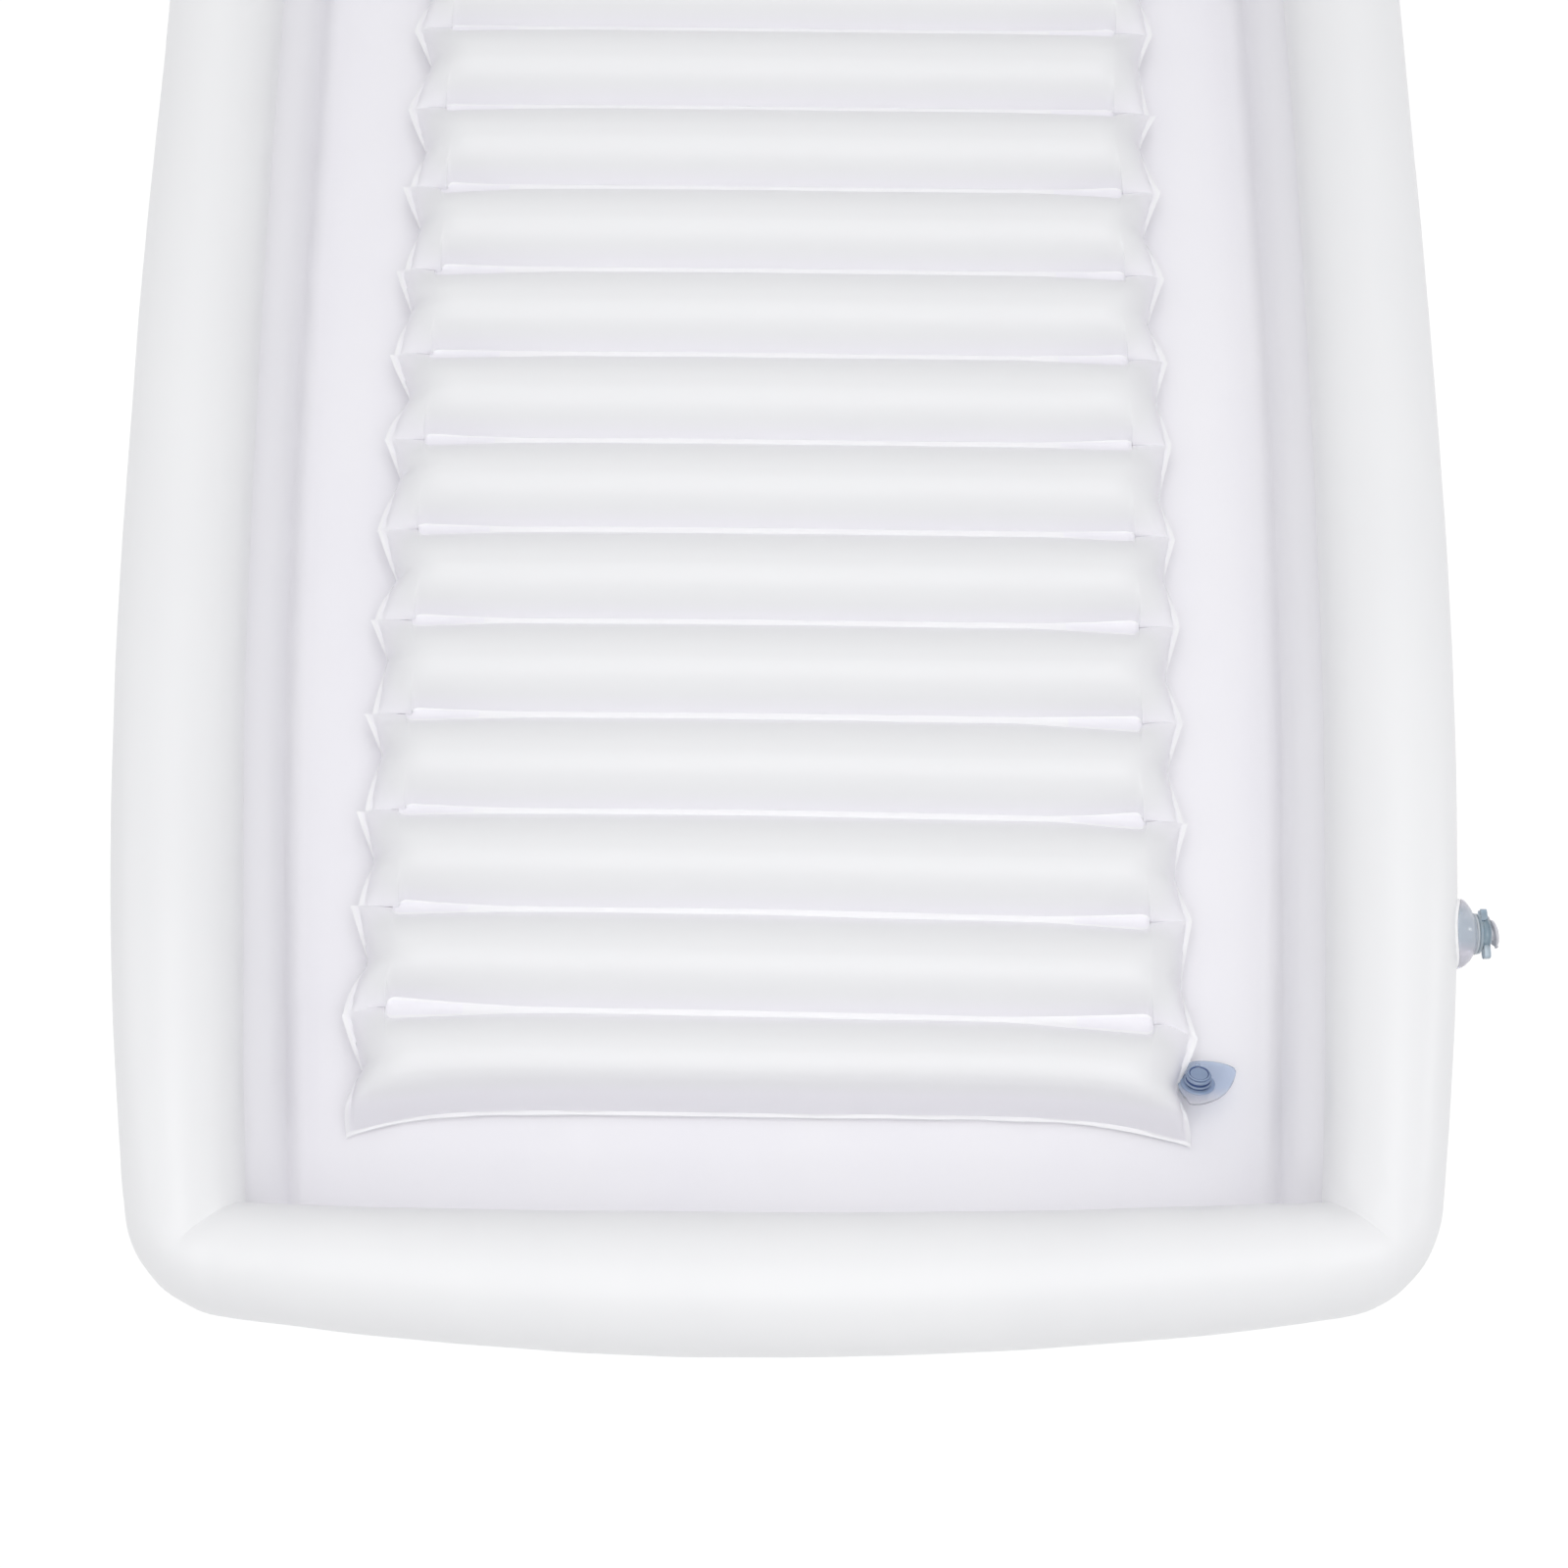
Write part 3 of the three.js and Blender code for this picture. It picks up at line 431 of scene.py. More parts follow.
def air_tube(which, flats, material, seed):
    """A ring of the wall: soft swells and ripples, and gathers inside its corners."""
    centre = CENTRES[which]
    section = tube_section(centre, *flats)
    points = np.array([level(whole_plan(share, INSETS[which]), z) for share, z in section])
    away = points - points.mean(0)
    away /= np.linalg.norm(away, axis=2, keepdims=True)
    x, y, z = points[..., 0], points[..., 1], points[..., 2]
    lift = np.zeros_like(x)
    for k, (amount, size, drawn) in enumerate((SWELL, RIPPLE)):
        lift += amount * waves(x, y * drawn, z, size, seed + k)
    corner = np.hypot(abs(x) - GATHER_PLACE[0], abs(y) - GATHER_PLACE[1]) / GATHER_REACH
    lift += np.exp(-corner ** 2) * GATHER * waves(x, y, z * 0.4, GATHER_SIZE, seed + 2)
    off_centre = np.abs(section[:, 1] - centre) / (TUBE_H / 2)
    free = np.clip(2.2 - off_centre * 2.0, 0, 1) ** 0.5
    if not flats[1]:
        free = np.where(section[:, 1] > centre, 1.0, free)
    lift *= free[:, None]
    points = points + away * (lift - SUNK)[..., None]
    faces = grid_faces(*points.shape[:2], True, True)
    points = points.reshape(-1, 3)
    shape = points, open_behind_valve(points, faces, VALVES[which])
    mesh_object(f"{which}_air_tube", shape, "tub", [f"{which}_ring"], [material], 32)


def tube_weld():
    """Flat strip of film between the two rings."""
    inner = whole_plan(0.5 - WELD_REACH / TUBE_W, INSETS["upper"])
    outer = whole_plan(0.5 + WELD_REACH / TUBE_W, INSETS["lower"])
    bottom, top = WEB_BOTTOM, WEB_BOTTOM + FILM
    rows = np.array([level(inner, bottom), level(outer, bottom), level(outer, top), level(inner, top)])
    shape = rows.reshape(-1, 3), grid_faces(*rows.shape[:2], True, True)
    mesh_object("tube_weld", shape, "tub", ["ring_web"], [WELD], 30)


# Floor sheet

SHEET_TOP, SHEET_FILM = 0.75, 0.6
# How far in from the sheet's weld, and how high it is drawn up against the lower tube there
TURN_UP = np.array([
    (0, 0), (30, 0), (44, 2), (50, 13), (52.8, 19), (53.1, 16.2), (53.4, 13.5), (53.8, 11.2), (54.4, 9),
    (55.4, 6.6), (56.8, 4.5), (58.6, 2.8), (60.8, 1.5), (63.4, 0.6), (67, 0), (74, 0)])
FLOOR_GRID, FLOOR_HALF_W, FLOOR_HALF_L = 15.0, 450, 990
DRAIN_HOLE_R, DRAIN_CLEAR, DRAIN_POINTS = 15.2, 24, 40
# The floor's unevenness: how high, how large, how much it is drawn out, and its seed
FLOOR_WAVES = ((1.1, 120, 0.3, 5), (0.6, 45, 0.45, 6))
FLOOR_LIMIT = 2.2
# Where the unevenness starts and how soon it is full, from the turned-up edge and from the drain
EDGE_START, EDGE_RUN, DRAIN_START, DRAIN_RUN = 7, 30, 22, 40


def distinct(line, least=0.01):
    """A line without the points that lie on the one before."""
    kept = [line[0]]
    for point in line[1:]:
        if np.hypot(*(point - kept[-1])) > least:
            kept.append(point)
    return np.array(kept)


def floor_sheet():
    """Sheet that is drawn up a little against the lower tube and lies in soft waves inside it."""
    share, inset = 0.5 - WELD_REACH / TUBE_W, INSETS["lower"]
    side, end = plan_curves(share, inset)
    reach = TURN_UP[-1, 0]

    def from_weld(x, y):
        return min(side(y) - abs(x), end(x) - abs(y))

    lines = [whole_plan(share + e / TUBE_W, inset, n_side=70, n_corner=2, n_end=40) for e in TURN_UP[:, 0]]
    band = np.array([level(line, SHEET_TOP + up) for line, up in zip(lines, TURN_UP[:, 1])])
    outline = distinct(lines[-1])
    hole = [(DRAIN_HOLE_R * math.cos(a), DRAIN_Y + DRAIN_HOLE_R * math.sin(a))
            for a in np.linspace(0, TAU, DRAIN_POINTS + 1)[:-1]]
    inner = [(x, y) for y in np.arange(-FLOOR_HALF_L, FLOOR_HALF_L + 1, FLOOR_GRID)
             for x in np.arange(-FLOOR_HALF_W, FLOOR_HALF_W + 1, FLOOR_GRID)
             if from_weld(x, y) > reach + 6 and math.hypot(x, y - DRAIN_Y) > DRAIN_CLEAR]
    n, m = len(outline), len(hole)
    edges = [(i, (i + 1) % n) for i in range(n)] + [(n + i, n + (i + 1) % m) for i in range(m)]
    coords = [Vector(p) for p in [*outline.tolist(), *hole, *inner]]
    verts, _, faces, *_ = geometry.delaunay_2d_cdt(coords, edges, [], 1, 1e-5)
    p = np.array([(v.x, v.y) for v in verts])
    middles = [p[list(f)].mean(0) for f in faces]
    faces = [f for f, (x, y) in zip(faces, middles) if math.hypot(x, y - DRAIN_Y) > DRAIN_HOLE_R - 0.7]
    x, y = p[:, 0], p[:, 1]
    edge = np.array([from_weld(a, b) for a, b in p]) - reach
    free = np.clip((edge - EDGE_START) / EDGE_RUN, 0, 1)
    free *= np.clip((np.hypot(x, y - DRAIN_Y) - DRAIN_START) / DRAIN_RUN, 0, 1)
    uneven = sum(high * waves(x, y * drawn, 0, size, seed) for high, size, drawn, seed in FLOOR_WAVES)
    top = np.column_stack([p, SHEET_TOP + free * np.clip(uneven, 0, FLOOR_LIMIT)])
    shape = merged((band.reshape(-1, 3), grid_faces(*band.shape[:2], False, True)), (top, faces))
    obj = mesh_object("floor_film_sheet", shape, "tub", ["floor_sheet"], [FLOOR], 60)
    solid = obj.modifiers.new("thickness", "SOLIDIFY")
    solid.thickness, solid.offset = SHEET_FILM * MM, -1


# Air mat

INNER = MAT_HALF - FLANGE
SEAM_END = INNER - 26.0
# Half of the mat's columns, close together at the welds' ends and at the flange
HALF_COLUMNS = np.array([
    0, 18, 36, 54, 72, 90, 108, 126, 143, 159, 174, 188, 200, 211, 221, 230, 238, 245, 251.5, 257.5, 263, 268,
    272.5, 276.5, 280, 283, 285.2, 286.8, 287.9, 288.6, 289.6, 291, 293, 295.3, 297.8, 300.2, 302.6, 304.8,
    306.8, 308.6, 310.2, 311.6, 312.7, 313.5, 314.2, 315.8, 317.6, MAT_HALF])
COLUMNS = np.concatenate([-HALF_COLUMNS[:0:-1], HALF_COLUMNS])
OUT = np.abs(COLUMNS)
INWARD = np.clip(INNER - OUT, 0, None)
ON_FLANGE = np.clip((OUT - INNER) / FLANGE, 0, 1)
# Rows of a cell as shares of its length, close together at its welds
LONG_HALF = [0, 0.006, 0.018, 0.036, 0.06, 0.09, 0.125, 0.165, 0.21, 0.26, 0.315, 0.375, 0.435, 0.5]
SHORT_HALF = [0.565, 0.625, 0.685, 0.74, 0.79, 0.835, 0.875, 0.91, 0.94, 0.964, 0.982, 0.994, 1.0]
CELL_ROWS = LONG_HALF + SHORT_HALF
CELL_R = (PITCH ** 2 / 4 + CROWN ** 2) / (2 * CROWN)

# Rows of a weld as shares of its half height, and their heights where it is thin and where it is wide
WELD_ROWS = np.array([-0.86, -0.7, -0.5, 0.0, 0.5, 0.7, 0.86])
THIN_HEIGHTS = np.array([2.2, 2.5, 2.6, 2.6, 2.6, 2.5, 2.2])
WIDE_HEIGHTS = np.array([0.75, 0.7, 0.08, 0.0, 0.08, 0.7, 0.75])
HALF_WELD = len(WELD_ROWS) // 2
WELD_THIN, WELD_UNEVEN, WELD_CORNER, FLAT_LENGTH = 2.3, 0.3, 7.0, 60
# Height of the open passage beyond a weld's end, as a share of the crown
PASSAGE = 0.12
# The first weld from the foot is long and wide, and it sags beyond its ends, more so at its right one
FOOT_WELD_WIDE, FOOT_WELD_LENGTH, FOOT_WELD_SAG = 8.8, 112.0, (11.0, 6.0)

# How far the mat's two ends bow in, and how far its foot end is askew
END_BOW, FOOT_START, FOOT_ASKEW = 20, 2.0, 1.5
# How far the foot edge hangs down to the floor, and over what length
FOOT_DROP, FOOT_DROP_RUN = 22.0, 19.0
# The sides' pull: where it starts, how soon past an ear the cell is full, and how its lower film is fuller
PULL_START, FULL_REACH, LOWER_FULLER = 215, 42.0, 1.35
# How far the film keeps off the ground
FLOOR_CLEAR = 1.6
# How round the cells close towards their ears, and the lip of the side edge as a share of the flange
CLOSE_IN, CLOSE_OUT = 2.2, 1 / 1.9
LIP_SHARE, LIP_PINCHED = 0.6, 0.42
# Unevenness: of the cells as a share of their height, of the foot edge's width and of the side edges
CELL_UNEVEN, FOOT_EDGE, FOOT_UNEVEN, FLUTTER, EDGE_DROP = 0.014, 2.9, 0.7, 0.8, 2.5
# The whole mat: how much wider it lies, how far its ears are drawn out and how far it lies to the left
WIDER, EARS_OUT, SHIFT = 1.5, 3.5, 1.8
# How far a side is bent along the mat, at what place and over what reach
LEFT_BEND, RIGHT_BEND = (3.0, 100, 80), (4.0, 170, 120)


def bend(share, y, form):
    size, place, reach = form
    return size * share * np.exp(-((y - place) / reach) ** 2)


def by_side(right, left):
    return np.where(COLUMNS >= 0, right, left)


def cell_form(cell, side):
    """Seeded shape of one end of a cell: how its edge runs, and its small folds."""
    rng = np.random.default_rng(500 + cell * 3 + (side > 0))
    form = {
        "kink": rng.uniform(11.5, 16.5) if side < 0 else rng.uniform(8.5, 13.5),
        "mid": rng.uniform(0.42, 0.58),
        "foot": float(rng.choice([0.5, 1.5, 4.0, 7.0])),
        "head": rng.uniform(0.0, 1.5),
        "foot_curve": rng.uniform(1.1, 2.0),
        "head_curve": rng.uniform(0.8, 1.1),
        "round": 0.1 if side < 0 else rng.uniform(0.2, 0.7),
        "dent": rng.uniform(2.0, 4.5),
    }
    if cell == 0:
        form.update(foot=6.0, kink=14.5, round=0.0)
        form.update({"foot_curve": 2.4, "mid": 0.5} if side < 0 else {"foot_curve": 1.2, "mid": 0.47})
    if cell == CELLS - 1:
        form.update(head=6.0, head_curve=1.8)
    ranges = ((0.08, 0.92), (0.018, 0.04), (9, 26), (-1.2, 0.8), (-0.006, 0.006))
    form["folds"] = [[rng.uniform(*limits) for limits in ranges] for _ in range(6)]
    return form


FORMS = {(cell, side): cell_form(cell, side) for cell in range(CELLS) for side in (1, -1)}


def edge_inset(form, t):
    """How far the side is pulled in at a share of a cell from its foot end, and its share of the pull."""
    mid = form["mid"]
    part, near = (t / mid, "foot") if t < mid else ((1 - t) / (1 - mid), "head")
    pull = np.clip(part, 0, 1)
    shape = (1 - form["round"]) * pull ** form[f"{near}_curve"] + form["round"] * (1 - (1 - pull) ** 2)
    return form[near] + (form["kink"] - form[near]) * shape, pull


def weld_shape(seam, side):
    """Half height and shift of a cross weld: a thin band that flares into a squared teardrop at its end."""
    rng = np.random.default_rng(1000 + seam * 7 + (side > 0))
    length, wide, shift = rng.uniform(72, 112), rng.uniform(4.8, 7.8), rng.uniform(-2.0, 1.0)
    if seam == 1:
        wide, length = FOOT_WELD_WIDE, FOOT_WELD_LENGTH
    d = SEAM_END - OUT
    thin = WELD_THIN + WELD_UNEVEN * waves(COLUMNS, seam * 53.0, 0, 130, 77)
    flare = np.clip((length - d) / length, 0, 1) ** 1.25
    half = thin + (wide - thin) * flare
    ending = np.sqrt(np.clip(1 - ((WELD_CORNER - d) / WELD_CORNER) ** 2, 0, 1))
    ending = np.where(d >= WELD_CORNER, 1.0, np.where(d <= 0, 0.0, 0.2 + 0.8 * ending))
    return np.where(d > 0, half * ending, 0.0), shift * flare * np.where(d > 0, 1.0, np.exp(d / 9.0))


def seam_line(seam):
    """Where a cross weld's middle lies, and its half height; the first and last are the mat's ends."""
    bow = END_BOW * (1 - np.abs(COLUMNS / MAT_HALF) ** 6)
    none = np.zeros_like(COLUMNS)
    if seam == 0:
        return FOOT_START + bow + FOOT_ASKEW * np.clip(COLUMNS / MAT_HALF, 0, 1), none
    if seam == CELLS:
        return MAT_LENGTH - bow, none
    half, shift = (by_side(*pair) for pair in zip(weld_shape(seam, 1), weld_shape(seam, -1)))
    line = seam * PITCH + END_EXTRA + 1.1 * waves(COLUMNS, seam * 37.0, 0, 420, 21) + shift
    sag = by_side(*FOOT_WELD_SAG) if seam == 1 else 1.5 * math.sin(seam * 2.4)
    return line - sag * smooth(OUT, SEAM_END + 2, MAT_HALF), half


SEAM_LINES = [seam_line(seam) for seam in range(CELLS + 1)]


def mat_rows():
    """(cell, share along it, weld row or end) for each row of the mat, from the foot edge on."""
    rows = [(0, 0.0, "foot"), (0, 0.0, "foot_mid")]
    for cell in range(CELLS):
        if cell > 0:
            rows += [(cell, 0.0, i) if i > HALF_WELD else (cell - 1, 1.0, i) for i in range(len(WELD_ROWS))]
        rows += [(cell, t, None) for t in CELL_ROWS]
    return rows + [(CELLS - 1, 1.0, "head_mid"), (CELLS - 1, 1.0, "head")]


def weld_height(row, half):
    """Height of a weld's row, from its thin part to its wide end, which is flat in the middle."""
    flared = np.clip((half - 2.4) / 2.2, 0, 1)
    height = THIN_HEIGHTS[row] + (WIDE_HEIGHTS[row] - THIN_HEIGHTS[row]) * flared
    return height * (OUT < SEAM_END)


def folded(z, cell, t):
    """Heights with a dent at each pinch and small folds near the sides."""
    for side in (1, -1):
        form = FORMS[cell, side]
        here = (by_side(1, -1) == side) & (INWARD > 0)
        dent = form["dent"] * math.exp(-((t - form["mid"]) / 0.045) ** 2) * np.exp(-INWARD / 8.0)
        z = z - np.where(here, np.minimum(dent, z * 0.5), 0)
        for place, wide, depth, deep, lean in form["folds"]:
            along = np.exp(-((t - place - lean * INWARD) / wide) ** 2)
            fold = along * np.exp(-((INWARD - 9) / depth) ** 2) * np.clip(z / 8, 0, 1)
            z = z + np.where(here, deep * fold, 0)
    return z


def cell_row(cell, t, close, upper):
    """Places along the mat and heights over the weld of a row of a cell's film."""
    (low, low_half), (high, high_half) = SEAM_LINES[cell], SEAM_LINES[cell + 1]
    y = low + (high - low) * t + low_half * (1 - t) ** 6 - high_half * t ** 6
    round_arc = (math.sqrt(CELL_R ** 2 - ((t - 0.5) * PITCH) ** 2) - (CELL_R - CROWN)) / CROWN
    roundness = 0.65 if cell == 0 and t < 0.5 else 0.5
    arc = roundness * round_arc + (1 - roundness) * 4 * t * (1 - t)
    rise = CROWN if upper else BELLY
    at_end = (cell == 0 and t < 0.5) or (cell == CELLS - 1 and t > 0.5)
    passage, edge = 0, 0
    if not at_end:
        start = SEAM_END - 1 - 28 * min(1, 8 * t, 8 * (1 - t))
        passage = PASSAGE * smooth(OUT, start, SEAM_END + 12) * (1 - arc) ** 3
        edge = weld_height(0, low_half if t < 0.5 else high_half) * (1 - arc) ** 5
    z = rise * (arc + passage) * close * (1 + CELL_UNEVEN * waves(COLUMNS, y, 0, 240, 31)) + edge
    if not upper:
        z = np.minimum(z * LOWER_FULLER, rise)
    return y, folded(z, cell, t)


def mat_row(cell, t, kind, upper):
    """One row of points across the mat's upper or lower film."""
    rise, sign = (CROWN, 1.0) if upper else (BELLY, -1.0)
    right, left = FORMS[cell, 1], FORMS[cell, -1]
    inset, pinch = (by_side(*pair) for pair in zip(edge_inset(right, t), edge_inset(left, t)))
    past_ear = np.clip(INWARD - 0.25 * (by_side(right["kink"], left["kink"]) - inset), 0, None)
    close = (1 - np.clip(1 - past_ear / FULL_REACH, 0, 1) ** CLOSE_IN) ** CLOSE_OUT
    lip = ON_FLANGE * FLANGE * (LIP_SHARE - LIP_PINCHED * pinch ** 1.5)
    x = by_side(1, -1) * (np.minimum(OUT, INNER) - inset * smooth(OUT, PULL_START, INNER) + lip)
    z = np.zeros_like(COLUMNS)
    (low, low_half), (high, high_half) = SEAM_LINES[cell], SEAM_LINES[cell + 1]
    at_foot = kind in ("foot", "foot_mid")
    if kind is None:
        y, z = cell_row(cell, t, close, upper)
    elif at_foot:
        width = FOOT_EDGE + FOOT_UNEVEN * waves(COLUMNS, 0, 0, 46, 41) * smooth(OUT, 60, 240)
        y = low - (1.0 if kind == "foot" else 0.4) * width
    elif kind in ("head", "head_mid"):
        y = high + (FLANGE if kind == "head" else 2.0)
    else:
        line, half = (low, low_half) if kind > HALF_WELD else (high, high_half)
        y = line + WELD_ROWS[kind] * half
        z = weld_height(kind, half) + smooth(OUT, SEAM_END - 1, SEAM_END + 12) * PASSAGE * rise * close
    flutter = ON_FLANGE * (1 - pinch) * FLUTTER * waves(COLUMNS, y, 0, 30, 51)
    if at_foot:
        flutter = flutter + waves(COLUMNS, 0, 0, 60, 52)
    drop = ON_FLANGE * pinch * EDGE_DROP
    if cell == 0:
        drop = drop + FOOT_DROP * np.clip(1 - (y - low) / FOOT_DROP_RUN, 0, 1.01) ** 1.5
    height = WELD_Z + sign * (FILM / 2 + z) - drop + flutter
    return np.stack([x, y, np.maximum(height, FLOOR_CLEAR + (FILM if upper else 0))], -1)


def mat_surface(upper):
    """Points of the mat's upper or lower film, with its ears drawn out and its sides bent as they lie."""
    grid = np.array([mat_row(cell, t, kind, upper) for cell, t, kind in mat_rows()])
    x, y = grid[..., 0].copy(), grid[..., 1].copy()
    right, left = np.clip(x / MAT_HALF, 0, 1), np.clip(-x / MAT_HALF, 0, 1)
    grid[..., 0] += WIDER * x / MAT_HALF + np.sign(x) * EARS_OUT * smooth(np.abs(x), SEAM_END, INNER) - SHIFT
    grid[..., 1] += bend(left, y, LEFT_BEND) - bend(right, y, RIGHT_BEND)
    return grid


def mat_tones():
    """Material of each face of a film: 0 for cells, 1 for welds and edges, 2 for the welds' wide ends."""
    kinds = [kind for _, _, kind in mat_rows()]
    weld = np.array([isinstance(k, int) for k in kinds])
    inside = np.array([isinstance(k, int) and 0 < k < len(WELD_ROWS) - 1 for k in kinds])
    out = ((OUT[:-1] + OUT[1:]) / 2)[None, :]
    on_weld = (weld[:-1] | weld[1:])[:, None] & (out < SEAM_END)
    flat = on_weld & (inside[:-1] & inside[1:])[:, None] & (out > SEAM_END - FLAT_LENGTH)
    row = np.arange(len(kinds) - 1)[:, None]
    on_edge = (out > INNER) | (row < 2) | (row >= len(kinds) - 3)
    return np.where(flat, 2, on_weld | on_edge).astype(np.int32).ravel()


def air_mat():
    """The mat as one closed film with welded edges; it lies slightly askew in the tub."""
    points, faces = closed_film(mat_surface(True), mat_surface(False))
    tone = mat_tones()
    rim = np.ones(len(faces) - 2 * len(tone), np.int32)
    place = (Matrix.Translation((0, MAT_CENTRE_Y, 0)) @ Matrix.Rotation(MAT_SKEW, 4, "Z")
             @ Matrix.Translation((0, -MAT_LENGTH / 2, 0)))
    obj = mesh_object("mattress_film", moved((points, faces), place), "mattress",
                      ["mattress_upper_skin", "mattress_lower_skin"], [MAT, WELD, FLAT], 48,
                      np.concatenate([tone, tone, rim]))


# Turned and flat pieces

def wall_drop(height):
    """How far the tube's face falls back at a height over its middle."""
    return TUBE_W / 2 * (1 - np.sqrt(np.clip(1 - (height / (TUBE_H / 2)) ** 2, 0, 1)))


def lathe(profile, steps=72):
    """Closed profile of (radius, height), turned about Z. A third value says how much it follows the wall."""
    profile = np.asarray(profile, float)
    a = np.linspace(0, TAU, steps + 1)[:-1]
    r, z = profile[:, 0][:, None], profile[:, 1][:, None]
    points = np.stack([r * np.cos(a), r * np.sin(a), z + 0 * a], -1)
    if profile.shape[1] == 3:
        fall = wall_drop(points[..., 0]) / math.cos(WALL_TURN) + points[..., 1] * math.tan(WALL_TURN)
        points[..., 2] -= profile[:, 2][:, None] * fall
    return points.reshape(-1, 3), grid_faces(len(profile), steps, True, True)


def rounded(points, radius=0.3, steps=3):
    """Closed profile with its corners eased."""
    p = np.asarray(points, float)
    out = []
    for i in range(len(p)):
        a, b, c = p[i - 1], p[i], p[(i + 1) % len(p)]
        u, v = a - b, c - b
        back, on = np.linalg.norm(u), np.linalg.norm(v)
        if b[0] <= 1e-6 or back < 1e-6 or on < 1e-6:
            out.append(b)
            continue
        k = min(radius, back * 0.4, on * 0.4)
        s, e = b + u / back * k, b + v / on * k
        out += [(1 - t) ** 2 * s + 2 * t * (1 - t) * b + t ** 2 * e for t in np.linspace(0, 1, steps)]
    return np.array(out)


def slab(outline, bottom, top, ease):
    """Flat piece with eased edges from an outline of (x, y)."""
    o = np.asarray(outline, float)
    n = len(o)
    centre = o.mean(0)
    inner = centre + (o - centre) * (1 - ease / np.abs(o - centre).max())
    layers = [(inner, bottom), (o, bottom + ease), (o, top - ease), (inner, top)]
    points = np.vstack([level(line, z) for line, z in layers])
    faces = [list(f) for f in grid_faces(4, n, False, True)]
    return points, [*faces, list(range(n))[::-1], [3 * n + i for i in range(n)]]


def knuckle(radius, half, ease, y, z):
    """Round end of a strap, along X."""
    roll = lathe(rounded([(0, -half), (radius, -half), (radius, half), (0, half)], ease), 24)
    return moved(roll, Matrix.Translation((0, y, z)) @ Matrix.Rotation(QUARTER, 4, "Y"))


def tones_by(shape, test):
    """1 for each face whose mean radius and mean height pass a test, else 0."""
    points, faces = shape
    radius, height = np.hypot(points[:, 0], points[:, 1]), points[:, 2]
    return [int(test(radius[list(f)].mean(), height[list(f)].mean())) for f in faces]


# Air valves. Heights are along the valve, out of the wall.

BELL_BASE, NECK_TOP, NECK_DEPTH = 4.2, 14.5, -12.4
NECK_R, NECK_BORE = 13.5, 11.4
PATCH_BOTTOM, PATCH_TOP = 0.42, 4.1
THREAD_R, THREAD_HEIGHT, THREAD_START, THREAD_PITCH, THREAD_RINGS = 11.0, 0.25, -11.5, 2.75, 9
HEAD_TOP, LUG_BOTTOM, LUG_ROOT, LUG_REACH, LUG_ROUND, LUG_HALF = 25.7, 21.2, 9.0, 14.4, 3.6, 4.2
STRAP_GAP, STRAP_HALF, STRAP_WAIST = 2.2, 1.9, 1.6


def valve_matrix(which):
    return Matrix.Translation(Vector(VALVES[which])) @ Matrix.Rotation(QUARTER, 4, "Y")


def lid_matrix(which):
    """The valve's frame with the lid as far open as it rests."""
    turn = Vector((0, KNUCKLE_Y, KNUCKLE_Z))
    return (valve_matrix(which) @ Matrix.Translation(turn) @ Matrix.Rotation(-CAP_REST, 4, "X")
            @ Matrix.Translation(-turn))


def valve_bell(which):
    """Flared flange that follows the tube, with its neck."""
    base = BELL_BASE
    rim = [(NECK_R, base, 1), (19.0, base, 1), (24.6, base, 1), (24.9, base + 0.4, 1), (24.9, base + 0.9, 1)]
    flare = [(24.7, 6.2, 0.86), (24.0, 7.8, 0.7), (22.8, 9.1, 0.5), (21.1, 10.8, 0.32), (19.1, 12.1, 0.18),
             (17.2, 12.9, 0.06), (15.8, 13.3, 0), (15.4, 13.5, 0), (15.5, 13.8, 0), (15.3, 14.2, 0)]
    neck = [(15.0, NECK_TOP, 0), (NECK_BORE, NECK_TOP, 0),
            (NECK_BORE, NECK_DEPTH, 0), (NECK_R, NECK_DEPTH, 0)]
    shape = moved(lathe([*rim, *flare, *neck], 96), valve_matrix(which))
    mesh_object(f"{which}_valve_bell", shape, "tub", [f"{which}_valve_base"], [BELL])


def valve_patch(which):
    """Welded patch under the bell, whose rim shows as a white ring; the ring's whiteness is partly painted
    highlight.
    """
    low, top = PATCH_BOTTOM, PATCH_TOP
    profile = [(13.9, low), (20.0, low), (26.6, low), (27.5, low + 0.1), (27.4, low + 0.8), (25.9, low + 1.2),
               (25.2, 2.2), (25.0, top), (20.0, top), (13.9, top)]
    shape = moved(lathe([(r, z, 1) for r, z in profile], 96), valve_matrix(which))
    mesh_object(f"{which}_valve_weld_patch", shape, "tub", [f"{which}_valve_patch"], [WELD], 60)


def valve_seal(which):
    profile = rounded([(11.35, 14.8), (15.0, 14.8), (14.6, 16.4), (11.35, 16.4)], 0.35)
    shape = moved(lathe(profile), valve_matrix(which))
    mesh_object(f"{which}_valve_seal_ring", shape, f"{which}_valve_seal",
                [f"{which}_valve_seal"], [RUBBER])


def lug(side, start, stop):
    """Finger lug of the insert, or one of its prongs, between two places across it."""
    xs = np.linspace(start, stop, 13)
    tip = [side * (LUG_REACH + LUG_ROUND * math.sqrt(max(0.0, 1 - (x / LUG_HALF) ** 4))) for x in xs]
    outline = [(start, side * LUG_ROOT), *zip(xs, tip), (stop, side * LUG_ROOT)]
    return slab(outline, LUG_BOTTOM, HEAD_TOP, 0.5)


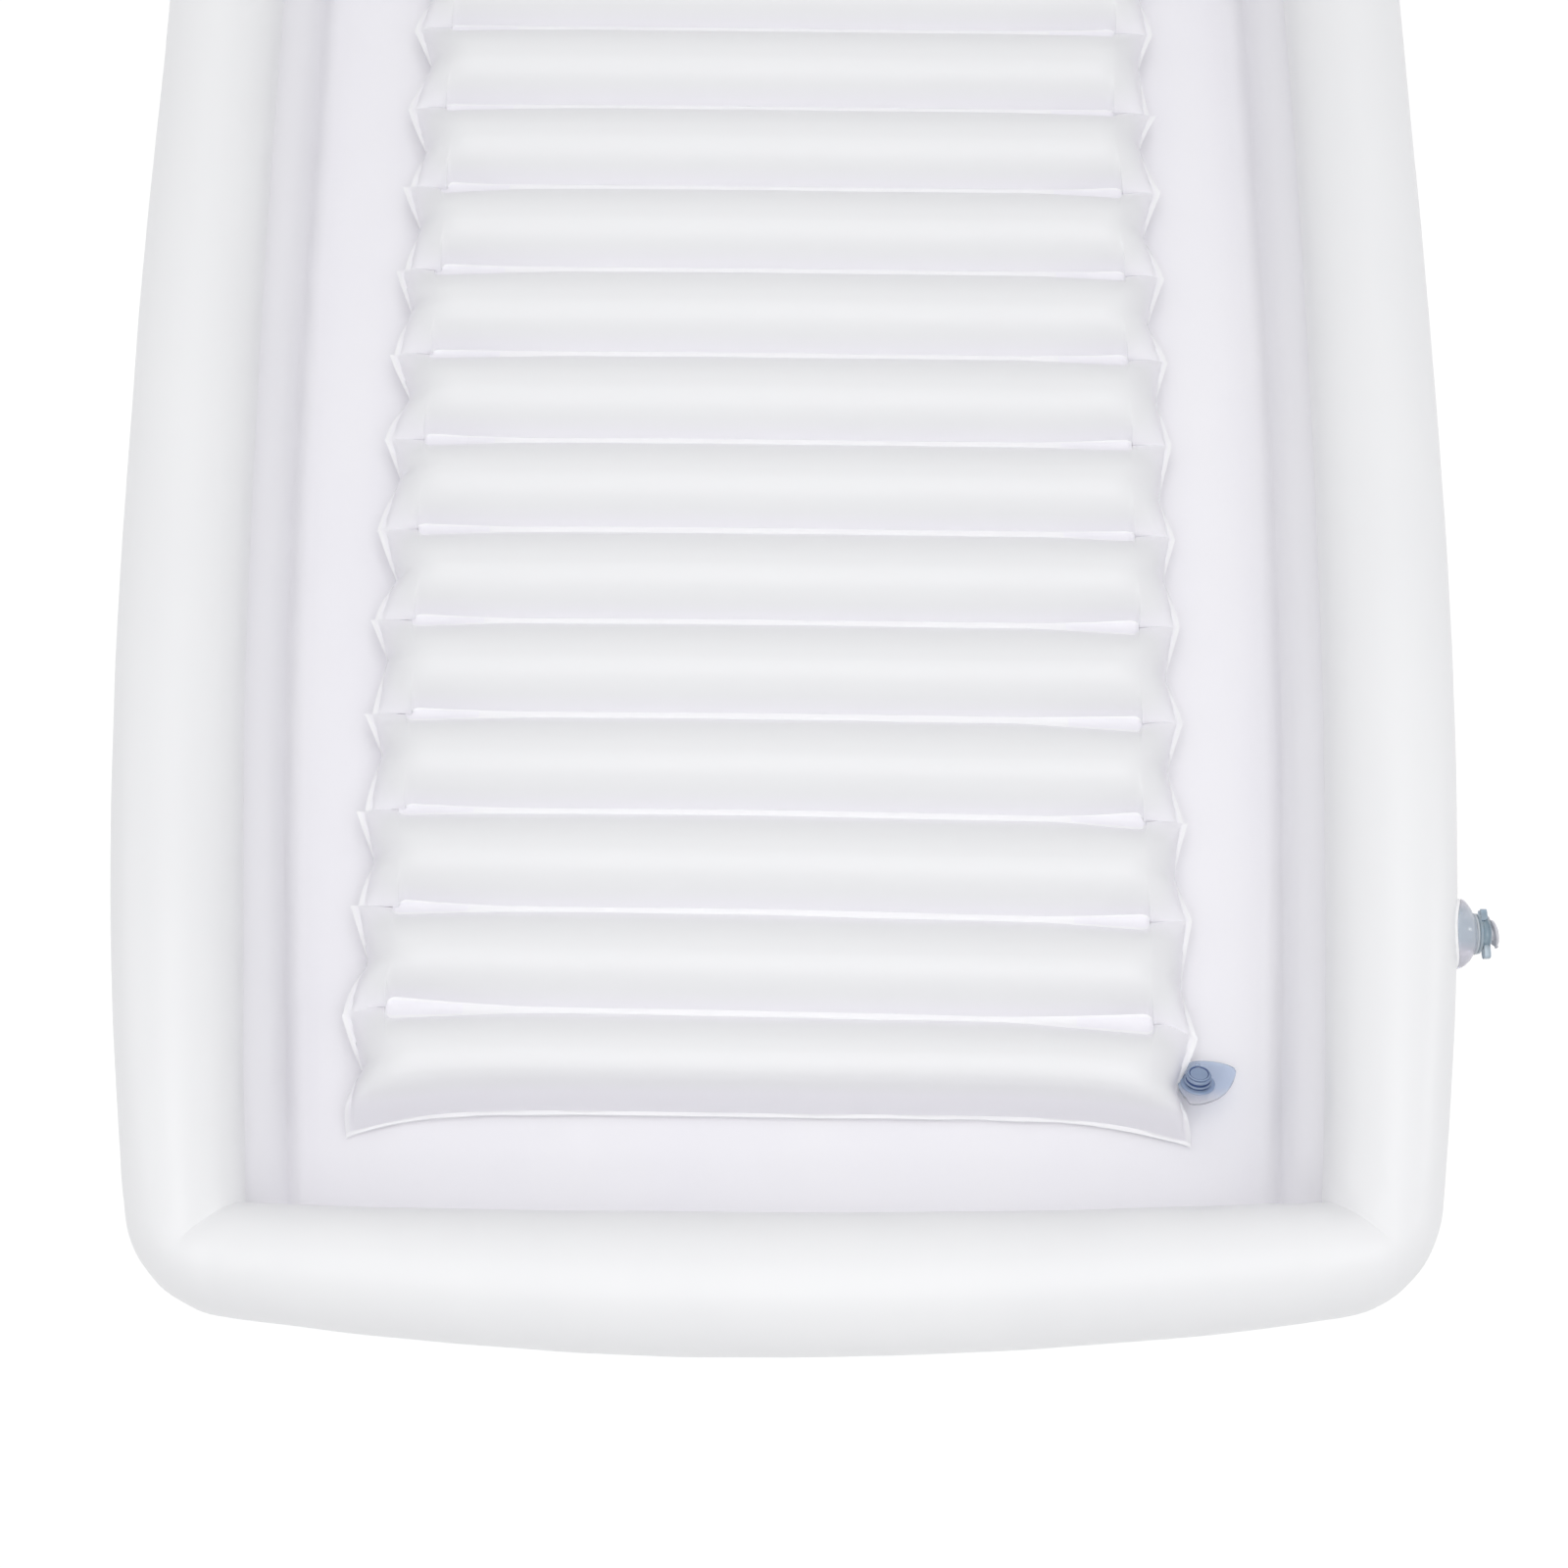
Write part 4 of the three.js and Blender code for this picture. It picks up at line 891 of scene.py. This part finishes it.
def valve_screw(which):
    """Screw-in insert: threaded stem, waisted head and two finger lugs, one split for the lid's strap."""
    thread = []
    for i in range(THREAD_RINGS):
        u = THREAD_START + i * THREAD_PITCH
        crest = THREAD_R + THREAD_HEIGHT
        thread += [(THREAD_R, u), (crest, u + 0.5), (crest, u + 1.0), (THREAD_R, u + 1.5)]
    head = [(THREAD_R, 14.6), (THREAD_R, 16.6), (14.0, 16.8), (14.5, 17.3), (14.3, 18.8), (12.8, 19.6),
            (10.4, 20.4), (9.5, 21.6), (9.5, 23.4), (10.3, 24.4), (10.9, 25.0), (10.4, HEAD_TOP)]
    bore = [(6.3, HEAD_TOP), (6.0, 25.4), (6.0, -10.5), (1.6, -10.5), (1.6, -12.5), (THREAD_R, -12.5)]
    lugs = [lug(-1, -LUG_HALF, LUG_HALF), lug(1, -LUG_HALF, -STRAP_GAP), lug(1, STRAP_GAP, LUG_HALF)]
    shape = merged(lathe([*thread, *head, *bore], 84), *lugs)
    # Faces of the head's waist take the darker plastic: painted shade.
    waist = tones_by(shape, lambda radius, height: radius < 10.6 and 19.8 < height < 24.6)
    mesh_object(f"{which}_valve_screw", moved(shape, valve_matrix(which)), f"{which}_valve_insert",
                [f"{which}_valve_insert"], [CLEAR, INSERT_WAIST_SHADE], 40, waist)


def valve_flap(which):
    """One-way flap with its guided stud."""
    profile = rounded([(0, -13.7), (7.6, -13.7), (7.6, -12.8), (1.2, -12.8), (1.2, -7.2), (2.3, -7.2),
                       (2.3, -6.2), (0, -6.2)], 0.25)
    shape = moved(lathe(profile, 48), valve_matrix(which))
    mesh_object(f"{which}_valve_flap_disc", shape, f"{which}_valve_flap",
                [f"{which}_valve_flap"], [RUBBER])


def valve_lid(which):
    """Push-in cap with a raised rim and a finger tab."""
    profile = rounded([(0, 20.2), (4.4, 20.2), (5.1, 25.9), (9.0, 26.0), (9.4, 26.3), (9.4, 27.7),
                       (8.8, 28.2), (7.4, 28.3), (6.9, 27.6), (5.2, 27.5), (4.6, 28.4), (0, 28.7)], 0.4)
    tab = slab([(-2.5, -8.4), (-2.5, -10.4), (-1.6, -11.2), (1.6, -11.2), (2.5, -10.4), (2.5, -8.4)],
               26.0, 27.5, 0.4)
    shape = moved(merged(lathe(profile), tab), lid_matrix(which))
    mesh_object(f"{which}_valve_lid", shape, f"{which}_valve_cap",
                [f"{which}_valve_cap"], [LIP])


def valve_lid_strap(which):
    """The lid's strap, which rises from its knuckle to the lid's flange."""
    near, waist, far = 8.9, 11.5, 14.3
    rise, run = 2.3, 3.2
    outline = [(-STRAP_HALF, near), (STRAP_HALF, near), (STRAP_WAIST, waist), (STRAP_HALF, far),
               (-STRAP_HALF, far), (-STRAP_WAIST, waist)]
    points, faces = slab(outline, 23.8, 25.0, 0.3)
    points[:, 2] += rise * np.clip((far - points[:, 1]) / run, 0, 1)
    shape = merged((points, faces), knuckle(1.4, STRAP_HALF, 0.3, KNUCKLE_Y, KNUCKLE_Z))
    mesh_object(f"{which}_valve_lid_strap", moved(shape, lid_matrix(which)), f"{which}_valve_cap",
                [f"{which}_valve_strap"], [LIP])


# The mat's valve

TAB_REACH, TAB_FILM, TAB_RIM = 45.0, 1.0, 0.45
SKEW = Matrix.Rotation(MAT_SKEW, 4, "Z")
STEM_TURN = SKEW @ Matrix.Rotation(-TAB_LEAN, 4, "X")
STEM_PLACE = Vector(PLUG_HINGE) - STEM_TURN @ PLUG_KNUCKLE
STEM = Matrix.Translation(STEM_PLACE) @ STEM_TURN
TAB = Matrix.Translation(STEM_PLACE - SKEW @ Vector((STEM_ON_TAB, 0, 0))) @ SKEW


def tab_outline(n=44):
    """Reach, foot edge and head edge of the tab at stations from its root to its tip."""
    x = TAB_REACH * np.sin(np.linspace(0, QUARTER, n)) ** 0.9
    foot = np.interp(x, [0, 2.4, 6.2, 9, 14, 18, 23, 28, 34, 39, 42, 44, 45],
                     [-6, -14.3, -21.8, -22.6, -22, -20.8, -18.6, -15.6, -9.8, -2.2, 4, 9.2, 12.8])
    head = np.interp(x, [0, 5, 9, 14, 18, 24, 30, 36, 40, 42.5, 44, 45],
                     [6, 15, 21.5, 25, 25.6, 25.6, 24.8, 23.4, 21.8, 19.8, 17.6, 13.6])
    return x[:, None], foot[:, None], head[:, None]


def mat_valve_flag():
    """Clear vinyl tab with a welded rim, leaning down from the mat's edge."""
    across = np.linspace(-1, 1, 29)
    x, foot, head = tab_outline()
    y = (foot + head) / 2 + across * (head - foot) / 2
    rim = smooth(np.abs(across), 0.84, 0.93) * (1 - smooth(np.abs(across), 0.96, 1.0))
    thick = TAB_FILM + TAB_RIM * rim + TAB_RIM * smooth(x, 42.0, 44.0)
    cos, sin = math.cos(TAB_LEAN), math.sin(TAB_LEAN)
    low, high = (np.stack([x + 0 * y, y * cos + up * sin, up * cos - y * sin], -1)
                 for up in (0 * thick, thick))
    mesh_object("mattress_valve_flag", moved(closed_film(low, high), TAB), "mattress",
                ["mattress_valve_tab"], [TABVINYL], 40)


def mat_valve_mouth():
    """Stem with a foot flange, a ring and a collar."""
    foot = [(5.2, -2.2), (9.2, -2.2), (9.2, -0.4), (7.8, -0.3), (7.8, 1.2), (12.0, 1.25), (13.0, 1.6),
            (12.2, 2.3), (9.6, 2.5), (8.0, 3.0), (8.0, 3.6)]
    collar = [(10.2, 4.2), (10.4, 4.9), (9.0, 5.5), (7.9, 6.0), (7.9, 6.9), (9.4, 7.7), (9.5, 9.2),
              (9.0, 10.0), (6.2, 10.0), (5.2, 9.6)]
    profile = rounded([*foot, *collar])
    shape = lathe(profile)
    # Faces in the stem's grooves take the dark vinyl: painted shade.
    groove_shade = tones_by(shape, lambda radius, height: radius < 9.2 and 2.3 < height < 7.5)
    mesh_object("mattress_valve_mouth", moved(shape, STEM), "mattress",
                ["mattress_valve_stem"], [VINYL, MAT_VALVE_SHADE], tones=groove_shade)


def mat_valve_stopper():
    """Plug with a dark line of painted shade round its top and under its edge."""
    profile = rounded([(0, 6.0), (4.1, 6.0), (4.9, 10.2), (8.2, 10.3), (8.6, 10.7), (8.5, 11.3), (8.1, 11.8),
                       (7.4, 11.7), (6.8, 11.0), (0, 10.9)])
    shape = lathe(profile, 56)

    # The ring inside the rim and the rim's underside take the dark vinyl: painted shade.
    def dark(radius, height):
        return 6.6 < radius < 7.5 and height > 10.8 or radius > 8.1 and height < 10.9
    mesh_object("mattress_valve_stopper", moved(shape, STEM), "mattress_plug",
                ["mattress_valve_plug"], [VINYL, MAT_VALVE_SHADE], tones=tones_by(shape, dark))


def mat_valve_tether():
    half, near, far = 2, 6.4, 9.2
    web = slab([(-half, near), (half, near), (half, far), (-half, far)], 10.35, 11.3, 0.25)
    shape = merged(web, knuckle(1.1, half, 0.25, PLUG_KNUCKLE.y, PLUG_KNUCKLE.z))
    mesh_object("mattress_valve_tether", moved(shape, STEM), "mattress_plug",
                ["mattress_valve_strap"], [TABVINYL])


# Drain

DRAIN = Matrix.Translation((0, DRAIN_Y, 0))
PULL_HALF, PULL_HEIGHT, PULL_WIDTH, PULL_FOOT = 8, 6.4, 1.3, 4.7


def drain_ring():
    profile = rounded([(12, 0.3), (14, 0.3), (14, 1.15), (19, 1.15), (19, 1.9), (17.5, 2.6), (14.6, 3.05),
                       (12, 3.1)], 0.25)
    mesh_object("drain_ring", moved(lathe(profile, 80), DRAIN), "tub", ["drain_seat"], [WELD])


def pull():
    """Arched finger pull of the drain's stopper."""
    arch = [(PULL_HALF * math.cos(a), PULL_FOOT + PULL_HEIGHT * math.sin(a) ** 0.7)
            for a in np.linspace(0, math.pi, 15)]
    inner = [(x * 0.62, PULL_FOOT + (z - PULL_FOOT) * 0.6) for x, z in arch[::-1]]
    outline = arch + inner
    n = len(outline)
    points = np.array([(x, y, z) for y in (-PULL_WIDTH, PULL_WIDTH) for x, z in outline])
    faces = [list(f) for f in grid_faces(2, n, False, True)]
    for k in range(len(arch) - 1):
        a, b, c, d = k, k + 1, n - 2 - k, n - 1 - k
        faces += [[a, b, c, d], [a + n, d + n, c + n, b + n]]
    return points, faces


def drain_stopper():
    profile = rounded([(0, 0.85), (11, 0.85), (11.7, 3.0), (11.7, 3.45), (15, 3.5), (15, 5.0), (14.2, 5.6),
                       (12.6, 5.6), (11.8, 4.9), (0, PULL_FOOT)])
    shape = moved(merged(lathe(profile, 80), pull()), DRAIN)
    mesh_object("drain_stopper", shape, "drain_plug", ["drain_plug"], [CLEAR])


air_tube("upper", (WELD_FLAT, 0.0), WALL, 11)
air_tube("lower", (WELD_FLAT, WELD_FLAT), LOWER, 12)
tube_weld()
floor_sheet()
air_mat()
for valve in VALVES:
    for piece in (valve_bell, valve_patch, valve_seal, valve_screw, valve_flap, valve_lid, valve_lid_strap):
        piece(valve)
mat_valve_flag()
mat_valve_mouth()
mat_valve_stopper()
mat_valve_tether()
drain_ring()
drain_stopper()


# Stage, in metres and watts

SOFT_LIGHT, SOFT_TINT, WHITE = 0.59, (0.98, 0.985, 1.0, 1), (1, 1, 1, 1)
GROUND_HALF, GROUND_Z = 30, -0.0005
GROUND_GREY, GROUND_PALE, GROUND_GLOW = (0.3, 0.3, 0.3, 1), (0.9, 0.9, 0.9, 1), 0.78
# Each light's name, place, target, size and power
LIGHTS = [
    ("key", (0.1, -0.7, 3.3), (0.1, -0.7, 0), (2.2, 1.9), 19),
    ("near", (0.25, -1.8, 2.9), (0.1, -0.9, 0), (2.4, 0.9), 10.5),
    ("front", (0, -2.5, 2.9), (0, -0.6, 0), (3.0, 1.0), 8),
    ("fill", (0.1, 1.9, 2.7), (0, -0.9, 0), (2.6, 1.2), 4),
    ("right", (3.0, -0.5, 1.0), (0.4, -0.7, 0.1), (0.3, 0.9), 4),
    ("left", (-3.0, -0.3, 1.2), (-0.4, -0.3, 0.1), (0.9, 2.0), 4.5),
]
CAMERA_PLACE, CAMERA_TILT, CAMERA_LENS, CAMERA_SENSOR = (0, -1.2129, 1.8014), math.radians(19), 55.39, 36


def placed(name, data, location, rotation):
    obj = bpy.data.objects.new(name, data)
    obj.location, obj.rotation_euler = location, rotation
    bpy.context.scene.collection.objects.link(obj)
    return obj


def seen(tree):
    """1 for a ray from the camera, also off a glossy face or through a clear one."""
    path = node(tree, "ShaderNodeLightPath")
    result = path.outputs["Is Camera Ray"]
    for kind in ("Is Glossy Ray", "Is Transmission Ray"):
        either = node(tree, "ShaderNodeMath", operation="MAXIMUM")
        tree.links.new(result, either.inputs[0])
        tree.links.new(path.outputs[kind], either.inputs[1])
        result = either.outputs[0]
    return result


def mixed(tree, unseen_shader, seen_shader, out):
    """Join two shaders: one for what is seen, the other for what lights the object."""
    mix = node(tree, "ShaderNodeMixShader")
    tree.links.new(seen(tree), mix.inputs[0])
    tree.links.new(unseen_shader.outputs[0], mix.inputs[1])
    tree.links.new(seen_shader.outputs[0], mix.inputs[2])
    tree.links.new(mix.outputs[0], out.inputs[0])


def studio():
    """Soft light all round, and a white background where it is seen."""
    world = bpy.data.worlds.new("studio")
    bpy.context.scene.world = world
    world.use_nodes = True
    tree = world.node_tree
    tree.nodes.clear()
    out = node(tree, "ShaderNodeOutputWorld")
    light = node(tree, "ShaderNodeBackground", {"Color": SOFT_TINT, "Strength": SOFT_LIGHT})
    white = node(tree, "ShaderNodeBackground", {"Color": WHITE, "Strength": 1.0})
    mixed(tree, light, white, out)


def ground():
    """Plain pale floor that is as bright as the background where it is seen."""
    mesh = bpy.data.meshes.new("ground")
    corners = [(x * GROUND_HALF, y * GROUND_HALF, GROUND_Z) for x, y in ((-1, -1), (1, -1), (1, 1), (-1, 1))]
    mesh.from_pydata(corners, [], [(0, 1, 2, 3)])
    placed("ground", mesh, (0, 0, 0), (0, 0, 0))
    values = {"Base Color": GROUND_GREY, "Roughness": 0.9, "Specular IOR Level": 0.0}
    mat, tree, shader = new_material("ground", values)
    out = next(n for n in tree.nodes if n.type == "OUTPUT_MATERIAL")
    glow = node(tree, "ShaderNodeEmission", {"Strength": GROUND_GLOW})
    glowing = node(tree, "ShaderNodeAddShader")
    pale = node(tree, "ShaderNodeBsdfDiffuse", {"Color": GROUND_PALE})
    tree.links.new(shader.outputs[0], glowing.inputs[0])
    tree.links.new(glow.outputs[0], glowing.inputs[1])
    mixed(tree, pale, glowing, out)
    mesh.materials.append(mat)


def lights():
    for name, place, target, size, power in LIGHTS:
        data = bpy.data.lights.new(name, "AREA")
        data.shape, data.size, data.size_y = "RECTANGLE", *size
        data.energy = power
        facing = (Vector(target) - Vector(place)).to_track_quat("-Z", "Y").to_euler()
        placed(name, data, place, facing)


def camera():
    data = bpy.data.cameras.new("camera")
    data.lens, data.sensor_width = CAMERA_LENS, CAMERA_SENSOR
    bpy.context.scene.camera = placed("camera", data, CAMERA_PLACE, (CAMERA_TILT, 0, 0))


bpy.context.scene.view_settings.view_transform = "Standard"
studio()
ground()
lights()
camera()
